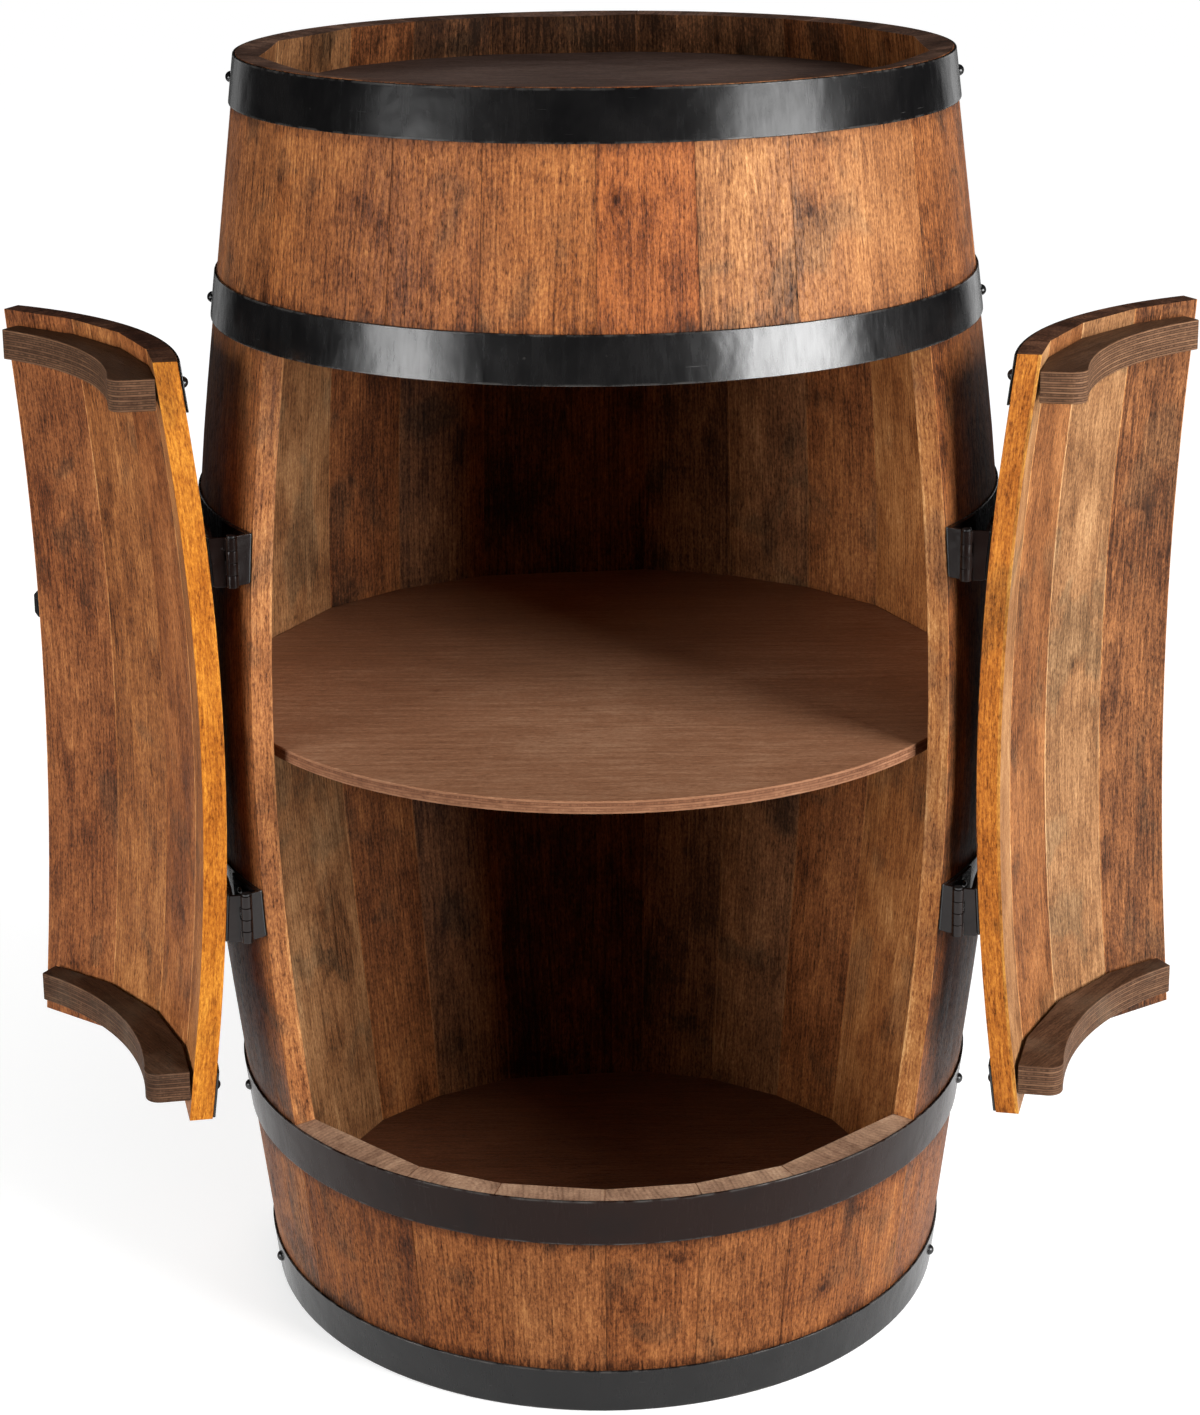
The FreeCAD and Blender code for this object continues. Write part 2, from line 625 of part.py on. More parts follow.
fixed, pins = [], []
for side, s in (("left", -1.0), ("right", 1.0)):
    moving = []
    for part in ("upper", "lower"):
        z = D("hinge_" + part)
        fixed.append(leaf("%s_%s_fixed_leaf" % (side, part), z, s, (0, 2), "cabinet"))
        moving.append(leaf("%s_%s_door_leaf" % (side, part), z, -s, (1, 3), side))
        stem = DOC.addObject("Part::Cylinder", "%s_%s_pin_stem" % (side, part))
        stem.Radius = VALUES["pin_radius"]
        stem.Height = VALUES["leaf_height"] + 2.0 * VALUES["pin_stand"]
        stem.setExpression("Radius", "Dims.pin_radius")
        stem.setExpression("Height", "Dims.leaf_height + 2 * Dims.pin_stand")
        stem.Placement = FreeCAD.Placement(
            V(s * HINGE_X, HINGE_Y, z.v - VALUES["leaf_height"] / 2 - VALUES["pin_stand"]), FreeCAD.Rotation())
        cap = DOC.addObject("Part::Cylinder", "%s_%s_pin_head" % (side, part))
        cap.Radius, cap.Height = VALUES["pin_head_radius"], VALUES["pin_head_height"]
        cap.setExpression("Radius", "Dims.pin_head_radius")
        cap.setExpression("Height", "Dims.pin_head_height")
        cap.Placement = FreeCAD.Placement(
            V(s * HINGE_X, HINGE_Y, z.v + VALUES["leaf_height"] / 2 + VALUES["pin_stand"] / 2), FreeCAD.Rotation())
        pin = DOC.addObject("Part::Fuse", "%s_%s_pin" % (side, part))
        pin.Base, pin.Tool = stem, cap
        pins.append(pin)
    group(side + "_door_hinge_leaves", moving)
group("cabinet_hinge_leaves", fixed)
group("hinge_pins", pins)


# ---------------------------------------------------------------- screws
def screw(name, angle, z, lift, swing="cabinet", kind="screw"):
    """Round-head screw on the barrel at a front angle and height; lift is how far the seat of
    its head stands off the wood.  kind is screw (hoops) or leaf_screw (hinges)."""
    r = outer_radius(z).v + lift
    radius, length = VALUES[kind + "_radius"], VALUES[kind + "_length"]
    head = DOC.addObject("Part::Sphere", name + "_head")
    head.Radius = radius
    head.setExpression("Radius", "Dims.%s_radius" % kind)
    head.Angle1 = 12.0
    head.Angle2 = 90.0
    shank = DOC.addObject("Part::Cylinder", name + "_shank")
    shank.Radius, shank.Height = VALUES["shank_radius"], length
    shank.setExpression("Radius", "Dims.shank_radius")
    shank.setExpression("Height", "Dims.%s_length" % kind)
    sunk = radius * math.sin(math.radians(12.0))
    # both are drawn with the head up along +z, then laid over so that +z points outwards
    head.Placement = FreeCAD.Placement(V(0, 0, -sunk), FreeCAD.Rotation())
    shank.Placement = FreeCAD.Placement(V(0, 0, -length + 0.2), FreeCAD.Rotation())
    whole = DOC.addObject("Part::Fuse", name)
    whole.Base, whole.Tool = head, shank
    tilt = 90.0
    zz = q(z).v
    if zz > VALUES["shoulder_high"]:
        tilt = 90.0 - math.degrees(math.atan(25.0 / 204.0))
    elif zz < VALUES["shoulder_low"]:
        tilt = 90.0 + math.degrees(math.atan(25.0 / 204.0))
    else:
        tilt = 90.0 - math.degrees(math.asin((zz - 400.0) / VALUES["bulge_radius"]))
    lay = FreeCAD.Placement(V(0, 0, 0), FreeCAD.Rotation(V(0, 1, 0), tilt))
    out = FreeCAD.Placement(V(r, 0, zz), FreeCAD.Rotation())
    whole.Placement = SWING[swing].multiply(turn(angle - 90.0)).multiply(out).multiply(lay)
    return whole


SEAT = VALUES["hoop_fit"] + VALUES["hoop_thick"] + 0.05
LEAF_SEAT = SEAT + VALUES["leaf_thick"]
half = VALUES["opening_half"]
screws = []
for name, z, lap in (("top", 785.0, 84.0), ("upper_quarter", 651.0, 83.0), ("lower_quarter", 136.0, 76.5),
                     ("bottom", 17.0, 73.5)):
    for k, angle in enumerate((lap, 186.0, -lap)):
        screws.append(screw("%s_screw_%d" % (name, k), angle, z, SEAT))
for part in ("upper", "lower"):
    for side, s in (("left", -1.0), ("right", 1.0)):
        for k, dz in enumerate((-8.0, 8.0)):
            screws.append(screw("%s_%s_leaf_screw_%d" % (side, part, k), s * (half + 5.4),
                                VALUES["hinge_" + part] + dz, LEAF_SEAT, "cabinet", "leaf_screw"))
group("cabinet_screws", screws)
for side, s in (("left", -1.0), ("right", 1.0)):
    own = []
    for k, angle in enumerate((half - 4.0, 7.0)):
        own.append(screw("%s_door_top_screw_%d" % (side, k), s * angle, VALUES["door_high"] - 15.5, SEAT, side))
        own.append(screw("%s_door_bottom_screw_%d" % (side, k), s * angle, VALUES["door_low"] + 15.5, SEAT, side))
    for part in ("upper", "lower"):
        own.append(screw("%s_%s_strap_screw" % (side, part), s * 9.0, VALUES["hinge_" + part], SEAT, side))
        for k, dz in enumerate((-8.0, 8.0)):
            own.append(screw("%s_%s_door_leaf_screw_%d" % (side, part, k), s * (half - 5.4),
                             VALUES["hinge_" + part] + dz, LEAF_SEAT, side, "leaf_screw"))
    group(side + "_door_screws", own)


# ---------------------------------------------------------------- latch
# Local frame of the latch: +x outwards, +y towards the right door, z measured from the pivot.
LZ = D("latch_height")
latch_place = SWING["left"].multiply(turn(-VALUES["latch_angle"] - 90.0))


def box(name, x0, x1, y0, y1, z0, z1):
    """Block between two corners; its three sizes are driven by the sheet."""
    b = DOC.addObject("Part::Box", name)
    for prop, lo, hi in (("Length", x0, x1), ("Width", y0, y1), ("Height", z0, z1)):
        side_ = q(hi) - q(lo)
        setattr(b, prop, side_.v)
        b.setExpression(prop, side_.e)
    b.Placement = FreeCAD.Placement(V(q(x0).v, q(y0).v, q(z0).v), FreeCAD.Rotation())
    return b


def rod(name, x0, x1, r):
    """Round bar along +x at the height of the latch pivot."""
    c = DOC.addObject("Part::Cylinder", name)
    long = q(x1) - q(x0)
    c.Radius, c.Height = q(r).v, long.v
    c.setExpression("Radius", q(r).e)
    c.setExpression("Height", long.e)
    c.Placement = FreeCAD.Placement(V(q(x0).v, 0.0, LZ.v), FreeCAD.Rotation(V(0, 1, 0), 90.0))
    return c


def fuse(name, parts):
    f = DOC.addObject("Part::MultiFuse", name)
    f.Shapes = parts
    return f


HALF_PLATE = D("latch_width") / 2.0
plate_back = outer_radius(LZ - 14.0) + 0.1
plate_face = plate_back + D("latch_plate")
bar_back = plate_face + 0.3
bar_face = bar_back + D("latch_bar_thick")
pivot = fuse("latch_pivot", [
    box("latch_plate", plate_back, plate_face, -16.0, 20.0, LZ - HALF_PLATE, LZ + HALF_PLATE),
    box("latch_stop", plate_face - 0.1, plate_face + 2.9, 13.0, 18.0, LZ - HALF_PLATE, LZ - 9.3),
    rod("latch_stud", plate_face - 0.1, bar_face + 0.6, D("stud_radius")),
    rod("latch_stud_head", bar_face + 0.3, bar_face + 1.8, D("stud_head")),
])
pivot.Label = "latch_pivot"
finish(pivot, latch_place)

bar = new_body("latch_bar")
sk = new_sketch(bar, "Latch_Bar_Outline", "YZ_Plane", bar_back)
add_loop(sk, [(0.0, LZ - 9.0), (44.0, LZ - 9.0), (47.0, LZ - 6.0), (47.0, LZ + 6.0),
              (44.0, LZ + 9.0), (0.0, LZ + 9.0, 9.1, -1)])
pad(bar, sk, D("latch_bar_thick"))
hole = new_sketch(bar, "Latch_Bar_Hole", "YZ_Plane", bar_back)
add_circle(hole, 0.0, LZ, D("stud_radius") + 0.06)
pocket(bar, hole, D("latch_bar_thick"), reverse=True)
finish(bar, latch_place)

keeper_place = SWING["right"].multiply(turn(3.5 - 90.0))
keeper_face = plate_back + D("keeper_plate")
lip_back = keeper_face + D("keeper_mouth")
lip_face = lip_back + D("keeper_lip")
keeper_left = q(-8.0)
keeper_right = keeper_left + D("keeper_width")
keeper = fuse("latch_keeper", [
    box("keeper_base", plate_back, keeper_face, keeper_left, 9.0, LZ - 14.0, LZ + 12.0),
    box("keeper_web", plate_back, lip_face, keeper_left, keeper_right, LZ - 14.0, LZ - 11.6),
    box("keeper_lip", lip_back, lip_face, keeper_left, keeper_right, LZ - 14.0, LZ + 1.0),
])
keeper.Label = "latch_keeper"
finish(keeper, keeper_place)


# ---------------------------------------------------------------- check and write
DOC.recompute()
bad = []
for obj in DOC.Objects:
    if "Invalid" in obj.State or "Error" in obj.State:
        bad.append(obj.Name)
if bad:
    raise RuntimeError("failed objects: " + ", ".join(bad))
labels = [n.Label for n in NODES]
if len(set(labels)) != len(labels) or len(labels) > 60:
    raise RuntimeError("labels: %d" % len(labels))
os.makedirs("parts", exist_ok=True)
for old in os.listdir("parts"):
    if old.endswith(".step") and old[:-5] not in labels:
        os.remove(os.path.join("parts", old))
for node in NODES:
    shape = node.Shape
    if shape.isNull() or not shape.isValid() or not shape.Solids:
        raise RuntimeError("bad shape: " + node.Label)
    shape.exportStep("parts/%s.step" % node.Label)
    box_ = shape.BoundBox
    print("%-26s solids %2d  volume %10.1f  box %7.1f %7.1f %7.1f  %7.1f %7.1f %7.1f" % (
        node.Label, len(shape.Solids), shape.Volume, box_.XMin, box_.YMin, box_.ZMin,
        box_.XMax, box_.YMax, box_.ZMax))
print("nodes", len(NODES))
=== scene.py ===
import math
import random

import bpy
from mathutils import Matrix, Vector

# Barrel bar cabinet.  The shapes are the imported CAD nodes; this script gives them their edges,
# wood, plywood and painted steel, and sets the floor, the studio lights and the camera.

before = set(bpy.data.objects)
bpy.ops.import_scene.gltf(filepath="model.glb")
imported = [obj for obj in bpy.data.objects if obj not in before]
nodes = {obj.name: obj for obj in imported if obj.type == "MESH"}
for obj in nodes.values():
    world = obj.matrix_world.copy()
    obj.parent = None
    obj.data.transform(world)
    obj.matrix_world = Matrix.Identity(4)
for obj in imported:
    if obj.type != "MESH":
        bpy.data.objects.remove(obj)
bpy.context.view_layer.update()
scene = bpy.context.scene


# ------------------------------------------------------------------ node helper
class Net:
    """Small helper that builds one material's node tree."""

    def __init__(self, name):
        self.mat = bpy.data.materials.new(name)
        self.mat.use_nodes = True
        self.t = self.mat.node_tree
        self.t.nodes.clear()

    def node(self, kind, **props):
        n = self.t.nodes.new(kind)
        for k, v in props.items():
            setattr(n, k, v)
        return n

    def put(self, socket, value):
        if isinstance(value, bpy.types.NodeSocket):
            self.t.links.new(value, socket)
        elif value is not None:
            socket.default_value = value

    def m(self, op, a, b=None, c=None, clamp=False):
        n = self.node("ShaderNodeMath", operation=op, use_clamp=clamp)
        for i, v in enumerate((a, b, c)):
            self.put(n.inputs[i], v)
        return n.outputs[0]

    def add(self, a, b):
        return self.m("ADD", a, b)

    def sub(self, a, b):
        return self.m("SUBTRACT", a, b)

    def mul(self, a, b):
        return self.m("MULTIPLY", a, b)

    def mad(self, a, b, c):
        return self.m("MULTIPLY_ADD", a, b, c)

    def sep(self, v):
        n = self.node("ShaderNodeSeparateXYZ")
        self.put(n.inputs[0], v)
        return n.outputs

    def comb(self, x, y, z):
        n = self.node("ShaderNodeCombineXYZ")
        for i, v in enumerate((x, y, z)):
            self.put(n.inputs[i], v)
        return n.outputs[0]

    def turn(self, v, centre, angle):
        n = self.node("ShaderNodeVectorRotate", rotation_type="Z_AXIS")
        self.put(n.inputs["Vector"], v)
        n.inputs["Center"].default_value = centre
        n.inputs["Angle"].default_value = math.radians(angle)
        return n.outputs[0]

    def shift(self, v, by):
        n = self.node("ShaderNodeVectorMath", operation="ADD")
        self.put(n.inputs[0], v)
        self.put(n.inputs[1], by)
        return n.outputs[0]

    def scale(self, v, by):
        n = self.node("ShaderNodeVectorMath", operation="MULTIPLY")
        self.put(n.inputs[0], v)
        self.put(n.inputs[1], by)
        return n.outputs[0]

    def noise(self, v, scale, detail=2.0, rough=0.5, warp=0.0):
        n = self.node("ShaderNodeTexNoise", noise_dimensions="3D")
        self.put(n.inputs["Vector"], v)
        n.inputs["Scale"].default_value = scale
        n.inputs["Detail"].default_value = detail
        n.inputs["Roughness"].default_value = rough
        n.inputs["Distortion"].default_value = warp
        return n.outputs[0]

    def cells(self, v, scale, randomness=1.0):
        n = self.node("ShaderNodeTexVoronoi", voronoi_dimensions="3D", feature="F1")
        self.put(n.inputs["Vector"], v)
        n.inputs["Scale"].default_value = scale
        n.inputs["Randomness"].default_value = randomness
        return n.outputs["Distance"]

    def white(self, value):
        n = self.node("ShaderNodeTexWhiteNoise", noise_dimensions="1D")
        self.put(n.inputs["W"], value)
        return n.outputs["Value"]

    def step(self, x, lo, hi, a=0.0, b=1.0):
        """Smooth step of x between lo and hi, from a to b."""
        n = self.node("ShaderNodeMapRange", interpolation_type="SMOOTHSTEP", clamp=True)
        for i, v in enumerate((x, lo, hi, a, b)):
            self.put(n.inputs[i], v)
        return n.outputs[0]

    def mixf(self, f, a, b):
        n = self.node("ShaderNodeMix", data_type="FLOAT")
        self.put(n.inputs[0], f)
        self.put(n.inputs[2], a)
        self.put(n.inputs[3], b)
        return n.outputs[0]

    def mix(self, f, a, b, blend="MIX"):
        n = self.node("ShaderNodeMix", data_type="RGBA", blend_type=blend)
        n.clamp_factor = True
        self.put(n.inputs[0], f)
        for i, v in ((6, a), (7, b)):
            if isinstance(v, tuple):
                v = tuple(v[:3]) + (1.0,)
            self.put(n.inputs[i], v)
        return n.outputs[2]

    def ramp(self, f, stops):
        n = self.node("ShaderNodeValToRGB")
        e = n.color_ramp.elements
        while len(e) > 1:
            e.remove(e[-1])
        e[0].position, e[0].color = stops[0][0], tuple(stops[0][1]) + (1.0,)
        for pos, col in stops[1:]:
            x = e.new(pos)
            x.color = tuple(col) + (1.0,)
        self.put(n.inputs[0], f)
        return n.outputs[0]

    def tint(self, colour, value, saturation=1.0):
        n = self.node("ShaderNodeHueSaturation")
        n.inputs["Hue"].default_value = 0.5
        self.put(n.inputs["Saturation"], saturation)
        self.put(n.inputs["Value"], value)
        self.put(n.inputs["Color"], colour)
        return n.outputs[0]

    def bump(self, height, strength, distance, under=None):
        n = self.node("ShaderNodeBump")
        n.inputs["Strength"].default_value = strength
        n.inputs["Distance"].default_value = distance
        self.put(n.inputs["Height"], height)
        if under is not None:
            self.put(n.inputs["Normal"], under)
        return n.outputs[0]

    def place(self):
        return self.node("ShaderNodeTexCoord").outputs["Object"]

    def facing(self):
        """z part of the true normal: it stays the same when a door swings."""
        return self.sep(self.node("ShaderNodeNewGeometry").outputs["Normal"])[2]

    def finish(self, colour, rough, normal, **fixed):
        b = self.node("ShaderNodeBsdfPrincipled")
        out = self.node("ShaderNodeOutputMaterial")
        self.put(b.inputs["Base Color"], colour)
        self.put(b.inputs["Roughness"], rough)
        self.put(b.inputs["Normal"], normal)
        for k, v in fixed.items():
            self.put(b.inputs[k.replace("_", " ")], v)
        self.t.links.new(b.outputs[0], out.inputs["Surface"])
        return self.mat


# ------------------------------------------------------------------ sizes from the record, metres
HINGE_X = 0.264 * math.sin(math.radians(54.0))
HINGE_Y = -0.264 * math.cos(math.radians(54.0))
CLOSE = {"left": ((-HINGE_X, HINGE_Y, 0.0), 207.0), "right": ((HINGE_X, HINGE_Y, 0.0), -205.5)}
BANDS = [(0.7700, 0.7996), (0.6400, 0.6680), (0.1200, 0.1505), (0.0008, 0.0295)]

# stain colours, from pores to the lightest early wood
STAIN = [(0.00, (0.016, 0.0048, 0.0016)), (0.22, (0.066, 0.0190, 0.0058)), (0.42, (0.190, 0.0600, 0.0175)),
         (0.60, (0.345, 0.1210, 0.0345)), (0.80, (0.530, 0.2200, 0.0660)), (1.00, (0.740, 0.3900, 0.1450))]
WEATHER = [(0.00, (0.018, 0.0090, 0.0045)), (0.25, (0.072, 0.0350, 0.0160)), (0.50, (0.190, 0.0980, 0.0440)),
           (0.75, (0.360, 0.2050, 0.0980)), (1.00, (0.560, 0.3600, 0.1900))]


def barrel_radius(g, z):
    d = g.m("ABSOLUTE", g.sub(z, 0.4))
    near = g.m("MINIMUM", d, 0.196)
    far = g.m("MAXIMUM", g.sub(d, 0.196), 0.0)
    fall = g.mad(far, 0.122549, g.mul(g.mul(near, near), 1.0 / 3.2133334))
    return g.sub(0.255, fall)


# ------------------------------------------------------------------ stave wood
def wood(name, mid, half, seed, door=None, tone=1.0, light=0.0, weather=0.0, u0=0.06, h0=0.02,
         tilt=0.03, z0=0.4, ring=0.16, pitch=0.0030, knots=(), cut=0, cut_light=0.14, end=0.36, end_grey=0.3,
         split=None, inside=0.0, inside_grey=0.0, smear=1.0, red=0.0, cut_tint=0.0, end_sat=1.0, sheen=0.18,
         lit=0.20, wild=0.20, rim_dark=0.0, grime_and_shade_dark=0.13, patches=(), stain_dark=0.095):
    """Stained stave.  The board has its own frame: u across, w outwards from the barrel's
    surface, z up.  Rings run round a pith line at u0, h0 that leans by tilt, so flat-sawn faces
    show arches and the rest straight grain."""
    g = Net(name)
    rnd = random.Random(seed)
    place = g.place()
    if door:
        centre, angle = CLOSE[door]
        place = g.turn(place, centre, angle)
    own = g.turn(place, (0.0, 0.0, 0.0), -mid)
    u, back, z = g.sep(own)
    r = g.mul(back, -1.0)
    size = barrel_radius(g, z)
    rad = g.m("SQRT", g.add(g.mul(u, u), g.mul(r, r)))
    w = g.sub(rad, size)
    phi = g.m("ARCTAN2", u, r)
    hr = math.radians(half)
    edge = g.mul(g.sub(hr, g.m("ABSOLUTE", phi)), size)

    off = [rnd.uniform(-3.0, 3.0) for _ in range(3)]
    base = g.shift(g.comb(u, w, z), tuple(off))
    slow = g.noise(g.scale(base, (1.0, 1.0, 0.30)), 9.0, 2.0, 0.5)
    curl = g.noise(g.scale(base, (1.0, 1.0, 0.22)), 46.0, 3.0, 0.55)
    fibre = g.noise(g.scale(base, (1.0, 1.0, 0.045)), 720.0, 3.0, 0.66, 0.15)
    fine = g.noise(g.scale(base, (1.0, 1.0, 0.19)), 1080.0, 2.0, 0.6)
    pores = g.step(fine, 0.50, 0.68)
    grit = g.noise(g.scale(base, (1.0, 1.0, 0.50)), 760.0, 2.0, 0.7)
    stain = g.noise(g.scale(base, (1.0, 1.0, 0.75)), 21.0, 3.0, 0.55, 0.5)
    streak = g.noise(g.scale(base, (1.0, 1.0, 0.060)), 200.0, 3.0, 0.6)
    mottle = g.noise(g.scale(base, (1.0, 1.0, 0.36)), 52.0, 5.0, 0.68, 0.4)
    blotch = g.noise(g.scale(base, (1.0, 1.0, 0.55)), 15.0, 3.0, 0.55, 0.6)
    patch = g.noise(g.scale(base, (1.0, 1.0, 0.6)), 33.0, 2.0, 0.5, 0.8)

    # growth rings
    lean = g.mad(g.sub(z, z0), tilt, h0)
    lean = g.mad(g.sub(slow, 0.5), 0.034, lean)
    du = g.sub(u, u0)
    dv = g.add(w, lean)
    rho = g.m("SQRT", g.add(g.mul(du, du), g.mul(dv, dv)))
    rho = g.mad(g.sub(curl, 0.5), 0.0042, rho)
    knot_dark = None
    for ku, kz, kr in knots:
        a = g.mul(g.sub(u, ku), 1.0 / kr)
        b = g.mul(g.sub(z, kz), 1.0 / (kr * 1.25))
        dd = g.m("SQRT", g.add(g.mul(a, a), g.mul(b, b)))
        dd = g.mad(g.sub(mottle, 0.5), 1.1, dd)
        rho = g.mad(g.step(dd, 4.2, 0.4), 0.0034, rho)
        core = g.mul(g.step(dd, 1.20, 0.30), 0.85)
        halo = g.mul(g.step(dd, 3.0, 0.9), 0.30)
        both = g.m("MAXIMUM", core, halo)
        knot_dark = both if knot_dark is None else g.m("MAXIMUM", knot_dark, both)
    count = g.mul(rho, 1.0 / pitch)
    part = g.m("FRACT", count)
    late = g.mul(g.step(part, 0.30, 0.93), g.step(part, 1.0, 0.95))
    each = g.white(g.add(g.m("FLOOR", count), float(seed)))
    late = g.mul(late, g.mad(each, 0.8, 0.35))

    t = g.mad(g.sub(mottle, 0.5), 0.50, 0.580 + light)
    t = g.mad(g.sub(blotch, 0.5), 0.52, t)
    t = g.mad(g.sub(streak, 0.5), 0.22, t)
    t = g.mad(g.sub(fibre, 0.5), 0.62, t)
    t = g.mad(g.sub(grit, 0.5), 0.62, t)
    t = g.mad(late, -ring * 0.60, t)
    t = g.mad(pores, -0.17, t)
    stained = g.step(stain, 0.545, 0.66)
    t = g.mad(stained, -stain_dark, t)
    for qu, qz, qr, strong in patches:
        a = g.mul(g.sub(u, qu), 1.0 / qr)
        b = g.mul(g.sub(z, qz), 1.0 / (qr * 1.1))
        dd = g.m("SQRT", g.add(g.mul(a, a), g.mul(b, b)))
        dd = g.mad(g.sub(mottle, 0.5), 3.4, g.mad(g.sub(streak, 0.5), 1.6, dd))
        t = g.mad(g.step(dd, 1.10, 0.35), strong, t)
    # stain that lay thicker in places, and grime carried across the grain
    thick = g.mul(g.step(patch, 0.56, 0.74), g.step(blotch, 0.62, 0.42))
    t = g.mad(thick, -0.15, t)
    px, py, pz = g.sep(place)
    across = g.noise(g.comb(g.mul(px, 9.0), g.mul(py, 9.0), g.mul(pz, 46.0)), 1.0, 3.0, 0.6, 0.2)
    where = g.noise(g.shift(place, (3.1, 1.7, 0.4)), 11.0, 2.0, 0.5)
    t = g.mad(g.mul(g.step(across, 0.50, 0.74), g.step(where, 0.46, 0.62)), -0.12 * smear, t)
    if knot_dark is not None:
        t = g.mad(knot_dark, -0.42, t)
    # grime and black paint bled from the hoops, together with painted contact shade where the wood meets them; only on
    # the outside
    outer = g.step(w, -0.003, -0.001)
    rough_z = g.mad(g.sub(mottle, 0.5), 0.012, g.mad(g.sub(fibre, 0.5), 0.006, z))
    grime_and_contact_shade = None
    for low, high in BANDS:
        gap = g.m("MAXIMUM", g.sub(low, rough_z), g.sub(rough_z, high))
        here = g.step(gap, 0.009, -0.0015)
        grime_and_contact_shade = here if grime_and_contact_shade is None else g.m("MAXIMUM", grime_and_contact_shade, here)
    t = g.mad(g.mul(grime_and_contact_shade, outer), -grime_and_shade_dark, t)
    if split is not None:
        angle, shift = split
        beyond = g.step(g.mad(g.sub(curl, 0.5), 0.002, phi), math.radians(angle - mid) - 0.002, math.radians(angle - mid) + 0.002)
        t = g.mad(beyond, shift, t)
    # inner faces
    inner = g.step(w, -0.0115, -0.0128)
    t = g.mad(inner, inside, t)
    t = g.mad(g.mul(inner, g.sub(mottle, 0.5)), wild, t)
    if rim_dark:
        t = g.mad(g.mul(inner, g.step(z, 0.766, 0.776)), -rim_dark, t)
    # joints: a thin dark line and slightly darker shoulders
    soft = g.step(edge, 0.0060, 0.0004)
    t = g.mad(soft, -0.015, t)
    # sawn faces at the opening
    saw = g.step(edge, 0.00050, 0.00025)
    speck = g.step(g.noise(g.scale(base, (1.0, 1.0, 0.22)), 620.0, 3.0, 0.7), 0.50, 0.68)
    if cut:
        side = g.m("GREATER_THAN", g.mul(phi, float(cut)), 0.0)
        sawn = g.mul(saw, side)
        t = g.mad(sawn, cut_light, t)
        t = g.mad(g.mul(speck, sawn), -0.17, t)
        line = g.mul(g.step(edge, 0.0013, 0.0006), g.sub(1.0, side))
    else:
        sawn = None
        line = g.step(edge, 0.0013, 0.0006)
    t = g.mad(g.mul(line, g.sub(1.0, inner)), -0.03, t)
    # painted highlight: a light line along each joint on the inner faces, where the rounded stave edges catch the light
    painted_joint_highlight = g.mul(g.step(edge, 0.0011, 0.0005), inner)
    if cut:
        painted_joint_highlight = g.mul(painted_joint_highlight, g.sub(1.0, side))
    t = g.mad(painted_joint_highlight, lit, t)
    # end grain
    up = g.step(g.m("ABSOLUTE", g.facing()), 0.72, 0.90)
    dots = g.noise(g.scale(base, (1.0, 1.0, 0.6)), 620.0, 2.0, 0.6)
    fan = g.noise(g.scale(base, (1.0, 0.16, 1.0)), 210.0, 3.0, 0.6)
    t_end = g.mad(g.sub(mottle, 0.5), 0.55, g.mad(g.sub(blotch, 0.5), 0.70, end))
    t_end = g.mad(g.sub(dots, 0.5), 0.42, t_end)
    t_end = g.mad(g.sub(fan, 0.5), 0.38, t_end)
    t_end = g.mad(late, -0.10, t_end)
    t_end = g.mad(g.step(edge, 0.0012, 0.0004), -0.05, t_end)
    t = g.mixf(up, t, t_end)

    warm = g.ramp(t, STAIN)
    old = g.ramp(t, WEATHER)
    grey = g.mad(inner, inside_grey, g.mad(stained, 0.30, weather))
    grey = g.mixf(up, grey, end_grey)
    grey = g.mad(g.sub(blotch, 0.5), 0.35, grey)
    colour = g.mix(g.m("MAXIMUM", grey, 0.0), warm, old)
    if red:
        colour = g.mix(red, colour, (0.42, 0.085, 0.035), "SOFT_LIGHT")
    if sawn is not None and cut_tint:
        colour = g.mix(g.mul(sawn, cut_tint), colour, (1.0, 0.765, 0.23), "MULTIPLY")
    colour = g.tint(colour, tone, g.mixf(up, 1.0, end_sat))

    rough = g.mad(g.sub(streak, 0.5), 0.22, 0.53)
    rough = g.mad(g.sub(mottle, 0.5), 0.16, rough)
    rough = g.mad(pores, 0.14, rough)
    rough = g.mixf(up, rough, 0.90)
    if sawn is not None:
        rough = g.mad(sawn, 0.08, rough)
    h = g.mad(fibre, 0.55, g.mul(late, 0.35))
    h = g.mad(pores, -0.75, h)
    h = g.mad(streak, 0.45, h)
    h = g.mixf(up, h, g.mad(dots, 0.8, g.mul(fan, 0.9)))
    normal = g.bump(h, 0.55, 0.00042)
    wide = g.mad(curl, 0.7, g.mul(slow, 1.2))
    normal = g.bump(wide, 0.22, 0.0022, normal)
    return g.finish(colour, rough, normal, Specular_IOR_Level=sheen)


